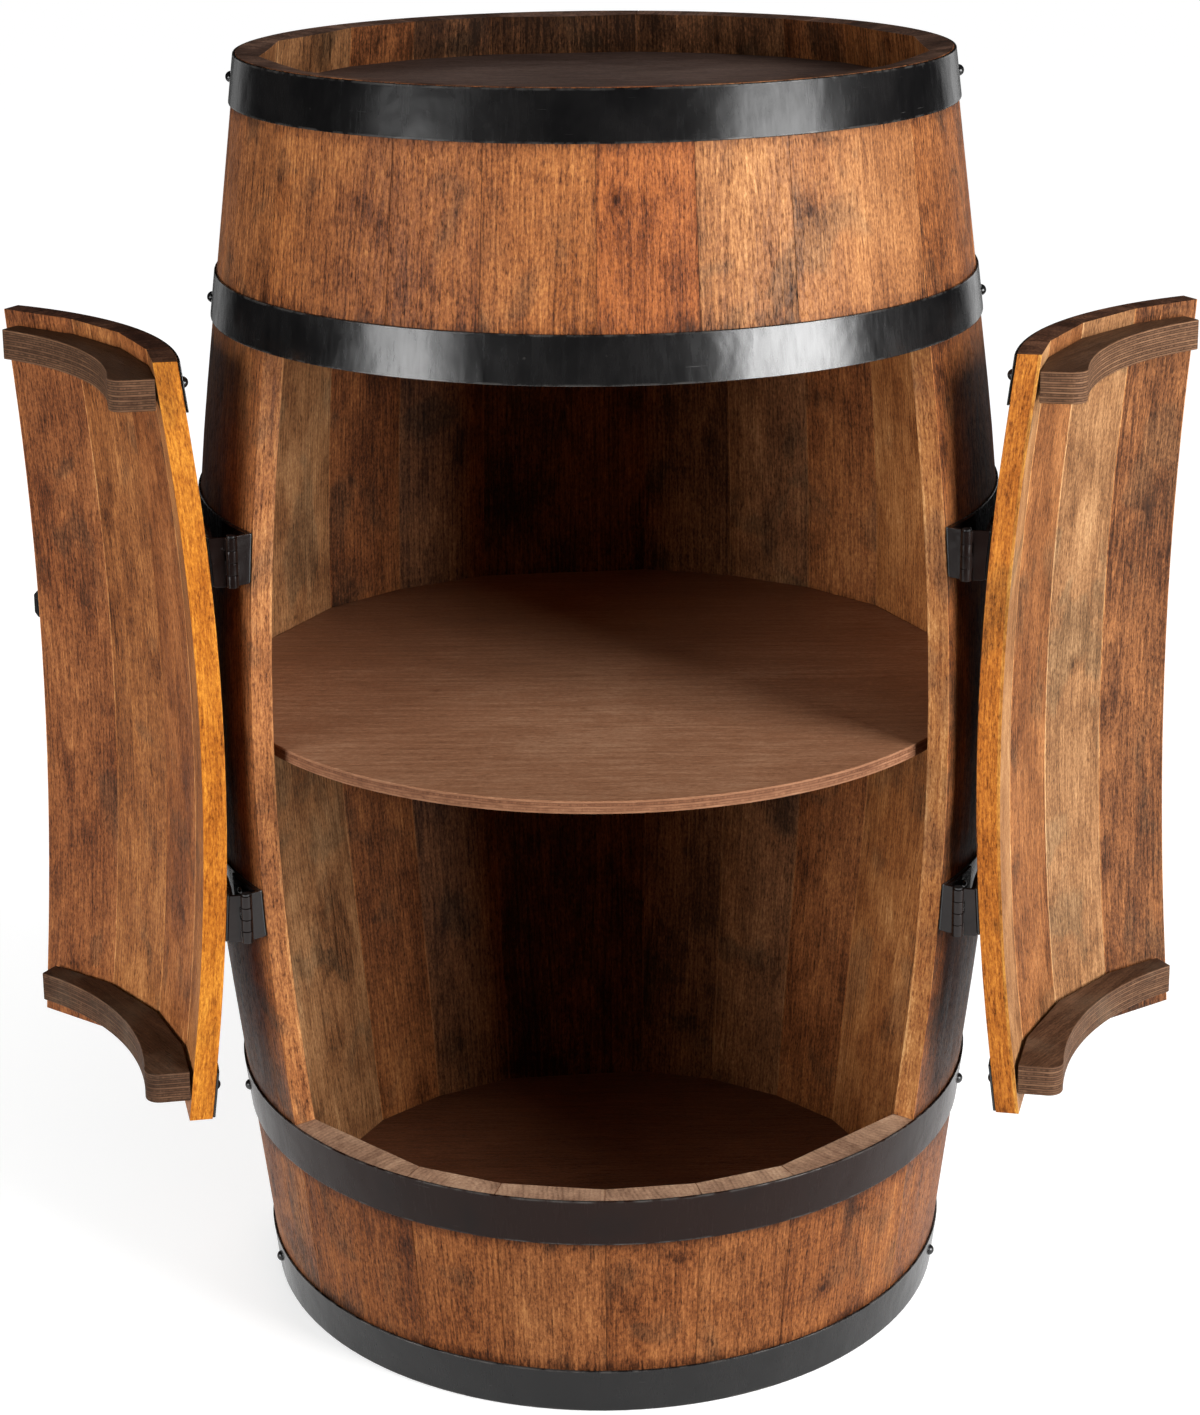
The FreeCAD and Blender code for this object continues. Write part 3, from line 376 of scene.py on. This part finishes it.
# ------------------------------------------------------------------ plywood
def ply(name, top, bottom, layers, seed, along="X", tone=1.0, light=0.0, centre=(0.0, 0.0), edge_light=0.10,
        door=None, turn=0.0, rough0=0.46, dust=0.0, sheen=0.15, sat=1.0, glue_dark=0.15, shade=None):
    """Stained plywood: face veneer with grain along one way, layers on the edge."""
    g = Net(name)
    rnd = random.Random(seed)
    place = g.place()
    if door:
        c, angle = CLOSE[door]
        place = g.turn(place, c, angle)
    if turn:
        place = g.turn(place, (0.0, 0.0, 0.0), turn)
    x, y, z = g.sep(place)
    a, b = (x, y) if along == "X" else (y, x)
    off = [rnd.uniform(-3.0, 3.0) for _ in range(3)]
    base = g.shift(g.comb(a, b, z), tuple(off))
    fibre = g.noise(g.scale(base, (0.045, 1.0, 1.0)), 800.0, 3.0, 0.64, 0.1)
    fine = g.noise(g.scale(base, (0.11, 1.0, 1.0)), 1150.0, 2.0, 0.6)
    pores = g.step(fine, 0.54, 0.70)
    grit = g.noise(g.scale(base, (0.40, 1.0, 1.0)), 820.0, 2.0, 0.7)
    streak = g.noise(g.scale(base, (0.080, 1.0, 1.0)), 130.0, 3.0, 0.6, 0.2)
    mottle = g.noise(g.scale(base, (0.40, 1.0, 1.0)), 38.0, 5.0, 0.66, 0.4)
    blotch = g.noise(base, 7.0, 3.0, 0.5, 0.4)
    curl = g.noise(g.scale(base, (0.30, 1.0, 1.0)), 14.0, 3.0, 0.5)
    lean = g.mad(g.noise(g.scale(base, (1.0, 0.6, 1.0)), 3.2, 2.0, 0.5), 0.12, 0.02)
    db = g.sub(b, centre[1] if along == "X" else centre[0])
    rho = g.m("SQRT", g.add(g.mul(db, db), g.mul(lean, lean)))
    rho = g.mad(g.sub(curl, 0.5), 0.016, rho)
    count = g.mul(rho, 1.0 / 0.0095)
    part = g.m("FRACT", count)
    late = g.mul(g.step(part, 0.35, 0.92), g.step(part, 1.0, 0.94))
    late = g.mul(late, g.mad(g.white(g.add(g.m("FLOOR", count), float(seed))), 0.9, 0.2))
    t = g.mad(g.sub(mottle, 0.5), 0.26, 0.40 + light)
    t = g.mad(g.sub(blotch, 0.5), 0.34, t)
    t = g.mad(g.sub(streak, 0.5), 0.16, t)
    t = g.mad(g.sub(fibre, 0.5), 0.40, t)
    t = g.mad(g.sub(grit, 0.5), 0.34, t)
    t = g.mad(late, -0.05, t)
    t = g.mad(pores, -0.13, t)

    # edge: thin veneers, every second one end grain
    span = (top - bottom) / layers
    level = g.mad(g.sub(curl, 0.5), 0.0006, z)
    idx = g.mul(g.sub(level, bottom), 1.0 / span)
    ix = g.m("FLOOR", idx)
    frac = g.m("FRACT", idx)
    odd = g.m("PINGPONG", ix, 1.0)
    glue = g.m("MAXIMUM", g.step(frac, 0.86, 0.97), g.step(frac, 0.14, 0.03))
    core = g.noise(g.scale(g.shift(place, tuple(off)), (1.0, 1.0, 0.35)), 420.0, 3.0, 0.6)
    run = g.noise(g.scale(g.shift(place, tuple(off)), (0.12, 0.12, 1.0)), 700.0, 2.0, 0.5)
    te = g.mad(g.white(g.add(ix, float(seed) * 0.37)), 0.12, 0.34 + edge_light)
    te = g.mad(g.sub(g.mixf(odd, run, core), 0.5), 0.55, te)
    te = g.mad(odd, -0.10, te)
    te = g.mad(glue, -glue_dark, te)
    te = g.mad(g.sub(mottle, 0.5), 0.30, te)
    side = g.step(g.m("ABSOLUTE", g.facing()), 0.55, 0.35)
    t = g.mixf(side, t, te)

    face = g.ramp(t, [(0.00, (0.016, 0.0060, 0.0030)), (0.25, (0.062, 0.0235, 0.0115)), (0.50, (0.155, 0.0640, 0.0320)),
                      (0.75, (0.280, 0.1320, 0.0700)), (1.00, (0.450, 0.2600, 0.1550))])
    if dust:
        haze = g.step(g.noise(g.shift(place, (1.0, 4.0, 2.0)), 26.0, 5.0, 0.65), 0.45, 0.75)
        face = g.mix(g.mul(haze, dust), face, (0.32, 0.25, 0.21))
    colour = g.tint(face, tone, sat)
    if shade:
        colour = g.mix(1.0, colour, shade, "MULTIPLY")
    rough = g.mad(g.sub(streak, 0.5), 0.18, rough0)
    rough = g.mad(g.sub(mottle, 0.5), 0.14, rough)
    rough = g.mixf(side, rough, 0.70)
    h = g.mad(fibre, 0.55, g.mul(pores, -0.7))
    he = g.mad(glue, -0.9, g.mul(core, 0.9))
    he = g.mad(odd, -0.5, he)
    h = g.mixf(side, h, he)
    normal = g.bump(h, 0.55, 0.00036)
    normal = g.bump(mottle, 0.12, 0.0020, normal)
    return g.finish(colour, rough, normal, Specular_IOR_Level=sheen)


# ------------------------------------------------------------------ painted steel
def steel(name, seed, bands=None, dark=1.0, brown=0.0, rough0=0.30, wear=1.0, dents=1.0, door=None, streaks=1.0, gloss=0.60):
    """Black satin paint on rolled steel, worn along the rims of its bands."""
    g = Net(name)
    rnd = random.Random(seed)
    place = g.place()
    if door:
        c, angle = CLOSE[door]
        place = g.turn(place, c, angle)
    x, y, z = g.sep(place)
    off = tuple(rnd.uniform(-3.0, 3.0) for _ in range(3))
    p = g.shift(place, off)
    tall = g.noise(g.scale(p, (1.0, 1.0, 0.07)), 420.0, 3.0, 0.62)
    brushed = g.noise(g.scale(p, (1.0, 1.0, 0.05)), 120.0, 3.0, 0.6)
    cloud = g.noise(p, 20.0, 4.0, 0.6, 0.3)
    grain = g.noise(p, 900.0, 2.0, 0.55)
    orange = g.noise(p, 260.0, 2.0, 0.5)
    dent = g.noise(g.scale(p, (1.0, 1.0, 0.8)), 26.0, 2.5, 0.5, 0.3)
    # short scratches in two ways
    s1 = g.noise(g.turn(g.scale(p, (1.0, 1.0, 1.0)), (0.0, 0.0, 0.0), 20.0), 60.0, 1.0, 0.5)
    lines = g.noise(g.comb(g.mul(x, 26.0), g.mul(y, 26.0), g.mul(z, 900.0)), 1.0, 2.0, 0.5, 0.1)
    scratch = g.mul(g.step(lines, 0.70, 0.76), g.step(s1, 0.56, 0.66))
    chips = g.step(g.noise(p, 170.0, 3.0, 0.7), 0.70, 0.76)

    rim = None
    if bands:
        for low, high in bands:
            d = g.m("MINIMUM", g.sub(z, low), g.sub(high, z))
            here = g.mul(g.step(d, 0.0016, 0.0002), g.step(d, -0.0012, -0.0004))
            rim = here if rim is None else g.m("MAXIMUM", rim, here)
        worn = g.mul(rim, g.step(g.noise(g.scale(p, (1.0, 1.0, 1.0)), 95.0, 3.0, 0.6), 0.40, 0.68))
    else:
        worn = g.step(g.noise(p, 210.0, 4.0, 0.7), 0.66, 0.80)
    worn = g.mul(g.m("MAXIMUM", worn, g.mul(chips, 0.25)), wear)

    black = g.mix(g.step(cloud, 0.30, 0.72), (0.0036 * dark, 0.0035 * dark, 0.0037 * dark),
                  (0.0085 * dark, 0.0080 * dark, 0.0080 * dark))
    if brown:
        black = g.mix(g.mul(g.step(cloud, 0.05, 0.50), brown), black, (0.0125, 0.0055, 0.0040))
    black = g.mix(g.mul(scratch, 0.5), black, (0.075, 0.072, 0.070))
    colour = g.mix(g.mul(worn, 0.75), black, (0.105, 0.098, 0.092))
    rough = g.mad(g.sub(cloud, 0.5), 0.18, rough0 - 0.05)
    rough = g.mad(g.sub(tall, 0.5), 0.20 * streaks, rough)
    rough = g.mad(g.sub(brushed, 0.5), 0.12 * streaks, rough)
    rough = g.mad(scratch, 0.12, rough)
    rough = g.m("MAXIMUM", g.mad(worn, -0.02, rough), 0.12)
    normal = g.bump(dent, 0.16 * dents, 0.0060)
    normal = g.bump(g.mad(orange, 0.5, g.mad(grain, 0.5, g.mul(scratch, -1.0))), 0.10, 0.00030, normal)
    return g.finish(colour, rough, normal, Metallic=g.mul(worn, 0.6), Specular_IOR_Level=gloss)


# ------------------------------------------------------------------ edges
def smooth_net():
    """Joins the split corners of the imported mesh, drops its custom normals and shades every face smooth."""
    t = bpy.data.node_groups.new("join_and_shade", "GeometryNodeTree")
    t.interface.new_socket("Geometry", in_out="INPUT", socket_type="NodeSocketGeometry")
    t.interface.new_socket("Geometry", in_out="OUTPUT", socket_type="NodeSocketGeometry")
    n = t.nodes
    gin, gout = n.new("NodeGroupInput"), n.new("NodeGroupOutput")
    drop = n.new("GeometryNodeRemoveAttribute")
    drop.inputs["Name"].default_value = "custom_normal"
    merge = n.new("GeometryNodeMergeByDistance")
    merge.inputs["Distance"].default_value = 2e-6
    smooth = n.new("GeometryNodeSetShadeSmooth")
    smooth.domain = "FACE"
    t.links.new(gin.outputs[0], drop.inputs["Geometry"])
    t.links.new(drop.outputs[0], merge.inputs["Geometry"])
    t.links.new(merge.outputs[0], smooth.inputs["Geometry"])
    t.links.new(smooth.outputs[0], gout.inputs[0])
    return t


JOIN = smooth_net()


def soften(o, width, segments=2, angle=28.0, flat=True):
    m = o.modifiers.new("join", "NODES")
    m.node_group = JOIN
    if flat:
        d = o.modifiers.new("planes", "DECIMATE")
        d.decimate_type = "DISSOLVE"
        d.angle_limit = math.radians(0.35)
        d.delimit = set()
    b = o.modifiers.new("edges", "BEVEL")
    b.width = width
    b.segments = segments
    b.limit_method = "ANGLE"
    b.angle_limit = math.radians(angle)
    b.use_clamp_overlap = True
    b.miter_outer = "MITER_ARC"
    b.harden_normals = False
    w = o.modifiers.new("shade", "WEIGHTED_NORMAL")
    w.mode = "FACE_AREA"
    w.weight = 80
    w.keep_sharp = False


def coat(o, mat):
    for s in o.material_slots:
        s.material = mat


# ------------------------------------------------------------------ staves of the carcass
FULL = [54.0, 78.0, 102.0, 127.0, 142.0, 157.0, 172.0, 200.0, 216.0, 231.0, 256.0, 281.0, 306.0]
LEFT = [-54.0, -44.0, -30.0, -16.0, 0.0]
RIGHT = [0.0, 14.0, 28.5, 43.5, 54.0]
FRONT = [-54.0, -30.0, -16.0, 0.0, 14.0, 28.5, 54.0]

seeds = random.Random(7)
INSIDE = {2: -0.02, 3: 0.00, 4: -0.03, 5: -0.17, 6: -0.19, 7: -0.12, 8: -0.04, 9: 0.10}
for i in range(12):
    a0, a1 = FULL[i], FULL[i + 1]
    k = dict(tone=seeds.uniform(0.90, 1.06), light=seeds.uniform(-0.085, -0.010), u0=seeds.choice((-1, 1)) * seeds.uniform(0.03, 0.09),
             h0=seeds.uniform(0.01, 0.035), tilt=seeds.uniform(-0.05, 0.05), z0=seeds.uniform(0.2, 0.6),
             ring=seeds.uniform(0.10, 0.20), pitch=seeds.uniform(0.0026, 0.0036), inside=INSIDE.get(i, 0.10),
             inside_grey=0.55 if i in (4, 5, 6, 7) else 0.12)
    if i in (2, 6, 9):
        k.update(u0=seeds.uniform(-0.012, 0.012), h0=0.013, tilt=0.055, ring=0.22)
    if i == 0:
        k.update(cut=-1, cut_light=0.365, inside=0.10, u0=0.07, tilt=0.01, light=-0.13, weather=0.08)
    if i == 1:
        k.update(inside=0.20, light=-0.05)
    if i == 2:
        k.update(inside=0.15, light=-0.05)
    if i == 9:
        k.update(inside=0.12, inside_grey=0.62, light=-0.05, tone=1.0, wild=0.34)
    if i == 10:
        k.update(inside=0.18, inside_grey=0.5, light=-0.05)
    if i == 11:
        k.update(cut=1, cut_light=0.155, inside=0.10, u0=-0.05, h0=0.02, tilt=0.03, light=-0.10, weather=0.15)
    name = "stave_%02d" % (i + 1)
    knots = {3: [(0.012, 0.31, 0.006)], 8: [(-0.015, 0.56, 0.007)], 5: [(0.006, 0.66, 0.005)]}.get(i, [])
    coat(nodes[name], wood("wood_" + name, 0.5 * (a0 + a1), 0.5 * (a1 - a0), 100 + i, knots=knots, end=0.26, end_grey=0.4, end_sat=0.75, rim_dark=0.17, **k))

UP = [
    dict(light=-0.095, u0=0.06, h0=0.02, tilt=0.03, ring=0.13, tone=0.97, split=(-41.0, 0.030)),
    dict(light=-0.060, u0=-0.05, h0=0.03, tilt=-0.02, ring=0.12, tone=1.0),
    dict(light=-0.065, u0=0.075, h0=0.02, tilt=0.04, ring=0.14, tone=1.0),
    dict(light=-0.040, u0=-0.045, h0=0.018, tilt=0.05, ring=0.14, tone=1.02, red=0.15, knots=[(-0.016, 0.740, 0.0036)]),
    dict(light=-0.030, u0=-0.004, h0=0.010, tilt=0.115, z0=0.72, ring=-0.20, pitch=0.0036, tone=1.02, weather=0.35),
    dict(light=0.075, u0=0.075, h0=0.02, tilt=0.02, ring=0.12, tone=0.98, weather=0.30, split=(41.5, -0.105), knots=[(-0.040, 0.728, 0.0046)]),
]
LOW = [
    dict(light=-0.085, u0=0.05, h0=0.02, tilt=0.05, ring=0.10, tone=0.93, red=0.10, weather=0.20),
    dict(light=-0.065, u0=0.008, h0=0.010, tilt=-0.10, z0=0.08, ring=0.17, tone=0.96, red=0.10, weather=0.18),
    dict(light=-0.055, u0=-0.06, h0=0.02, tilt=0.06, ring=0.11, tone=0.96, red=0.10, weather=0.28),
    dict(light=-0.055, u0=0.06, h0=0.02, tilt=-0.03, ring=0.10, tone=0.95, red=0.10, weather=0.24),
    dict(light=-0.045, u0=-0.07, h0=0.02, tilt=0.02, ring=0.10, tone=0.97, red=0.08, weather=0.26),
    dict(light=-0.060, u0=0.06, h0=0.025, tilt=0.03, ring=0.12, tone=0.96, red=0.08, weather=0.20, knots=[(-0.02, 0.060, 0.0030)]),
]
for i in range(6):
    a0, a1 = FRONT[i], FRONT[i + 1]
    mid, half = 0.5 * (a0 + a1), 0.5 * (a1 - a0)
    coat(nodes["upper_front_stave_%d" % (i + 1)],
         wood("wood_upper_front_%d" % (i + 1), mid, half, 200 + i, end=0.26, end_grey=0.4, end_sat=0.75, inside=-0.06, rim_dark=0.15, **UP[i]))
    coat(nodes["lower_front_stave_%d" % (i + 1)],
         wood("wood_lower_front_%d" % (i + 1), mid, half, 220 + i, end=0.66, end_grey=0.84, end_sat=0.80, inside=-0.06, sheen=0.10,
              grime_and_shade_dark=0.22, **LOW[i]))

# ------------------------------------------------------------------ staves of the doors
DOOR_WOOD = {
    ("left", 1): dict(light=-0.01, u0=0.05, h0=0.02, tilt=0.02, ring=0.10, tone=0.94, cut=-1, cut_light=0.225, cut_tint=1.0, weather=0.12),
    ("left", 2): dict(light=-0.025, u0=-0.055, h0=0.02, tilt=0.03, ring=0.11, tone=0.95, weather=0.18, red=0.12),
    ("left", 3): dict(light=-0.015, u0=0.045, h0=0.02, tilt=0.03, ring=0.11, tone=0.95, weather=0.14, lit=0.10),
    ("left", 4): dict(light=-0.090, u0=0.012, h0=0.014, tilt=0.05, z0=0.42, ring=0.14, tone=0.95, red=0.14, wild=0.08, weather=0.20,
                      patches=[(-0.024, 0.437, 0.006, 0.15), (0.000, 0.388, 0.007, 0.13), (0.008, 0.350, 0.009, 0.12),
                               (-0.006, 0.530, 0.008, 0.12), (0.002, 0.505, 0.007, 0.12)]),
    ("right", 1): dict(light=-0.215, u0=0.020, h0=0.012, tilt=0.075, z0=0.45, ring=-0.20, pitch=0.0044, tone=0.94, weather=0.30,
                       stain_dark=0.05, wild=0.0),
    ("right", 2): dict(light=-0.030, u0=-0.005, h0=0.012, tilt=0.05, z0=0.30, ring=-0.12, pitch=0.0030, tone=1.0, weather=0.75,
                       stain_dark=0.03, wild=0.0, knots=[(0.002, 0.412, 0.0030)], patches=[(0.002, 0.424, 0.011, 0.10)]),
    ("right", 3): dict(light=-0.065, u0=-0.07, h0=0.02, tilt=0.01, ring=0.10, tone=0.96, weather=0.28, stain_dark=0.06, wild=0.1),
    ("right", 4): dict(light=-0.065, u0=-0.05, h0=0.02, tilt=0.01, ring=0.10, tone=0.95, cut=1, cut_light=0.18, cut_tint=0.85,
                       weather=0.14, inside=0.15, inside_grey=0.50),
}
for (side, i), k in DOOR_WOOD.items():
    joints = LEFT if side == "left" else RIGHT
    a0, a1 = joints[i - 1], joints[i]
    if a0 == -54.0:
        a0 += 0.35
    if a0 == 0.0:
        a0 += 0.55
    if a1 == 0.0:
        a1 -= 0.55
    if a1 == 54.0:
        a1 -= 0.35
    coat(nodes["%s_door_stave_%d" % (side, i)],
         wood("wood_%s_door_%d" % (side, i), 0.5 * (a0 + a1), 0.5 * (a1 - a0), 240 + 10 * (side == "right") + i, door=side,
              end=0.24, end_grey=0.3, end_sat=0.85, smear=0.5, sheen=0.14, **dict(dict(lit=0.34), **k)))

# ------------------------------------------------------------------ plywood parts
coat(nodes["shelf"], ply("ply_shelf", 0.395, 0.387, 5, 31, light=0.35, centre=(0.0, 1.20), edge_light=0.26, rough0=0.48, sat=1.0))
coat(nodes["top_panel"], ply("ply_top", 0.773, 0.765, 5, 32, light=-0.10, centre=(0.0, 1.20), rough0=0.62, sheen=0.04, sat=0.62))
coat(nodes["bottom_panel"], ply("ply_bottom", 0.014, 0.006, 5, 33, light=0.04, centre=(0.0, 1.10), rough0=0.50, sheen=0.08))
coat(nodes["shelf_cleats"], ply("ply_cleats", 0.387, 0.371, 1, 34, light=-0.05))
for side, turn, face, edge in (("left", 27.0, -0.205, -0.03), ("right", -27.0, -0.11, 0.055)):
    coat(nodes[side + "_door_upper_rib"], ply("ply_%s_upper_rib" % side, 0.6290, 0.6100, 13, 40 + len(side), light=face, sat=0.80,
                                              door=side, turn=turn, edge_light=edge, rough0=0.56, glue_dark=0.48, sheen=0.12,
                                              shade=(1.0, 0.97, 0.76)))
    coat(nodes[side + "_door_lower_rib"], ply("ply_%s_lower_rib" % side, 0.1970, 0.1780, 13, 50 + len(side), light=face, sat=0.80,
                                              door=side, turn=turn, edge_light=edge, rough0=0.56, glue_dark=0.48, sheen=0.12,
                                              dust=0.12, shade=(1.0, 0.97, 0.78)))

# ------------------------------------------------------------------ steel parts
BILGE = [(0.503, 0.533), (0.280, 0.310)]
STRAP = BILGE + [(0.6080, 0.6380), (0.1650, 0.1950)]
for name, band, seed in (("top_hoop", BANDS[0], 61), ("upper_quarter_hoop", BANDS[1], 62), ("lower_quarter_hoop", BANDS[2], 63),
                         ("bottom_hoop", BANDS[3], 64), ("upper_bilge_hoop", BILGE[0], 65), ("lower_bilge_hoop", BILGE[1], 66)):
    gloss, brown = {"top_hoop": (0.24, 0.0), "lower_quarter_hoop": (0.13, 1.0), "bottom_hoop": (0.30, 0.0)}.get(name, (0.62, 0.0))
    coat(nodes[name], steel("paint_" + name, seed, [band], gloss=gloss, brown=brown))
for side in ("left", "right"):
    m = steel("paint_%s_straps" % side, 70 + len(side), STRAP, door=side)
    for part in ("end_straps", "bilge_straps"):
        coat(nodes["%s_door_%s" % (side, part)], m)
    coat(nodes[side + "_door_hinge_leaves"], steel("paint_%s_leaves" % side, 80 + len(side), None, dark=0.7, brown=0.5,
                                                   rough0=0.22, door=side, wear=0.9, streaks=0.5, gloss=0.34, dents=2.6))
    coat(nodes[side + "_door_screws"], steel("paint_%s_screws" % side, 84 + len(side), None, dark=1.0, rough0=0.30, door=side, wear=0.6))
hinge_mat = steel("paint_cabinet_leaves", 90, None, dark=0.7, brown=0.5, rough0=0.22, wear=0.9, streaks=0.5, gloss=0.34, dents=2.6)
coat(nodes["cabinet_hinge_leaves"], hinge_mat)
coat(nodes["hinge_pins"], steel("paint_pins", 91, None, dark=1.6, rough0=0.26, wear=1.0))
coat(nodes["cabinet_screws"], steel("paint_screws", 92, None, dark=1.0, rough0=0.30, wear=0.6))
latch_mat = steel("paint_latch", 93, None, dark=1.1, rough0=0.30, door="left", wear=0.8)
coat(nodes["latch_pivot"], latch_mat)
coat(nodes["latch_bar"], latch_mat)
coat(nodes["latch_keeper"], steel("paint_keeper", 94, None, dark=1.1, rough0=0.30, door="right", wear=0.8))

for name, o in nodes.items():
    if "front_stave" in name:
        soften(o, 0.00018)
    elif "stave" in name:
        soften(o, 0.0003)
    elif "rib" in name or name in ("shelf", "shelf_cleats"):
        soften(o, 0.0007)
    elif name in ("top_panel", "bottom_panel"):
        soften(o, 0.0005)
    elif "hoop" in name or "strap" in name:
        soften(o, 0.00045)
    elif "leaves" in name or "latch" in name:
        soften(o, 0.00035)

# ------------------------------------------------------------------ floor
def pale(name, near_light):
    g = Net(name)
    p = g.place()
    x, y, _ = g.sep(p)
    cloud = g.noise(p, 1.3, 3.0, 0.5)
    fine = g.noise(p, 90.0, 3.0, 0.6)
    far = g.step(g.m("SQRT", g.add(g.mul(x, x), g.mul(y, y))), 0.35, 1.15)
    close = g.mix(cloud, (0.60, 0.60, 0.60), (0.64, 0.64, 0.635))
    colour = g.mix(far, close, (0.12, 0.12, 0.12))
    return g.finish(colour, g.mad(fine, 0.1, 0.72), g.bump(fine, 0.05, 0.0004), Specular_IOR_Level=0.1,
                    Emission_Color=(1.0, 1.0, 1.0, 1.0), Emission_Strength=g.mixf(far, near_light, 1.0))


bpy.ops.mesh.primitive_circle_add(vertices=96, radius=1.4, fill_type="NGON", location=(0.0, 0.0, 0.0))
floor = bpy.context.active_object
floor.name = "floor"
floor.data.materials.append(pale("pale_floor", 0.58))
floor.visible_diffuse = False

bpy.ops.mesh.primitive_plane_add(size=80.0, location=(0.0, 0.0, -0.001))
floor_far = bpy.context.active_object
floor_far.name = "floor_far"
floor_far.data.materials.append(pale("pale_floor_far", 0.58))
floor_far.visible_diffuse = False
floor_far.visible_glossy = False

# ------------------------------------------------------------------ world and lights
world = bpy.data.worlds.new("studio")
scene.world = world
world.use_nodes = True
bg = world.node_tree.nodes["Background"]
bg.inputs[0].default_value = (1.0, 1.0, 1.0, 1.0)
bg.inputs[1].default_value = 0.95
world.cycles_visibility.diffuse = False
world.cycles_visibility.glossy = False
world.cycles_visibility.transmission = False
world.cycles_visibility.scatter = False


def area(name, place, target, size, power, colour=(1.0, 1.0, 1.0), glossy=True):
    data = bpy.data.lights.new(name, "AREA")
    data.shape = "RECTANGLE"
    data.size, data.size_y = size
    data.energy = power
    data.color = colour
    o = bpy.data.objects.new(name, data)
    scene.collection.objects.link(o)
    o.location = place
    o.rotation_mode = "QUATERNION"
    o.rotation_quaternion = (Vector(target) - Vector(place)).to_track_quat("-Z", "Y")
    o.visible_camera = False
    o.visible_glossy = glossy
    return o


area("box_left", (-1.745, -1.340, 0.50), (0.0, 0.0, 0.50), (0.88, 0.80), 19.0)
area("fill_left", (-1.640, -1.466, 0.80), (0.0, 0.0, 0.50), (1.20, 0.90), 29.0, glossy=False)
area("box_right", (1.802, -1.262, 0.62), (0.0, 0.0, 0.50), (1.20, 0.90), 58.0)
area("fill_right", (1.802, -1.262, 1.50), (0.0, 0.0, 0.50), (1.20, 0.90), 46.0, glossy=False)
area("fill_front", (0.0, -2.0, 2.6), (0.0, 0.0, 0.35), (2.2, 1.0), 8.0, glossy=False)
area("dome", (0.0, 0.2, 3.4), (0.0, 0.0, 0.0), (5.0, 5.0), 18.0, glossy=False)
area("fill_back", (0.0, 2.9, 1.9), (0.0, 0.0, 0.45), (2.6, 1.4), 44.0, glossy=False)
area("edge_left", (-1.50, 2.15, 0.55), (0.0, 0.0, 0.50), (0.80, 0.80), 1.0)
area("edge_right", (1.50, 2.15, 0.55), (0.0, 0.0, 0.50), (0.80, 0.80), 2.2)

scene.view_settings.view_transform = "Standard"
scene.view_settings.look = "None"
scene.view_settings.exposure = 0.0
scene.view_settings.gamma = 1.0

# ------------------------------------------------------------------ camera
FOCAL, DISTANCE, HEIGHT, DOWN, ROLL, CX, CY = 2841.0, 1.7429, 0.9833, 14.134, -0.528, 598.08, 450.0
cam_data = bpy.data.cameras.new("camera")
cam_data.sensor_width = 36.0
cam_data.lens = FOCAL / 1415.0 * 36.0
cam_data.shift_x = (600.0 - CX) / 1415.0
cam_data.shift_y = (CY - 707.5) / 1415.0
cam_data.clip_start = 0.05
cam_data.clip_end = 200.0
cam = bpy.data.objects.new("camera", cam_data)
scene.collection.objects.link(cam)
cam.matrix_world = (Matrix.Translation((0.0, -DISTANCE, HEIGHT))
                    @ Matrix.Rotation(math.radians(90.0 - DOWN), 4, "X")
                    @ Matrix.Rotation(math.radians(ROLL), 4, "Z"))
scene.camera = cam
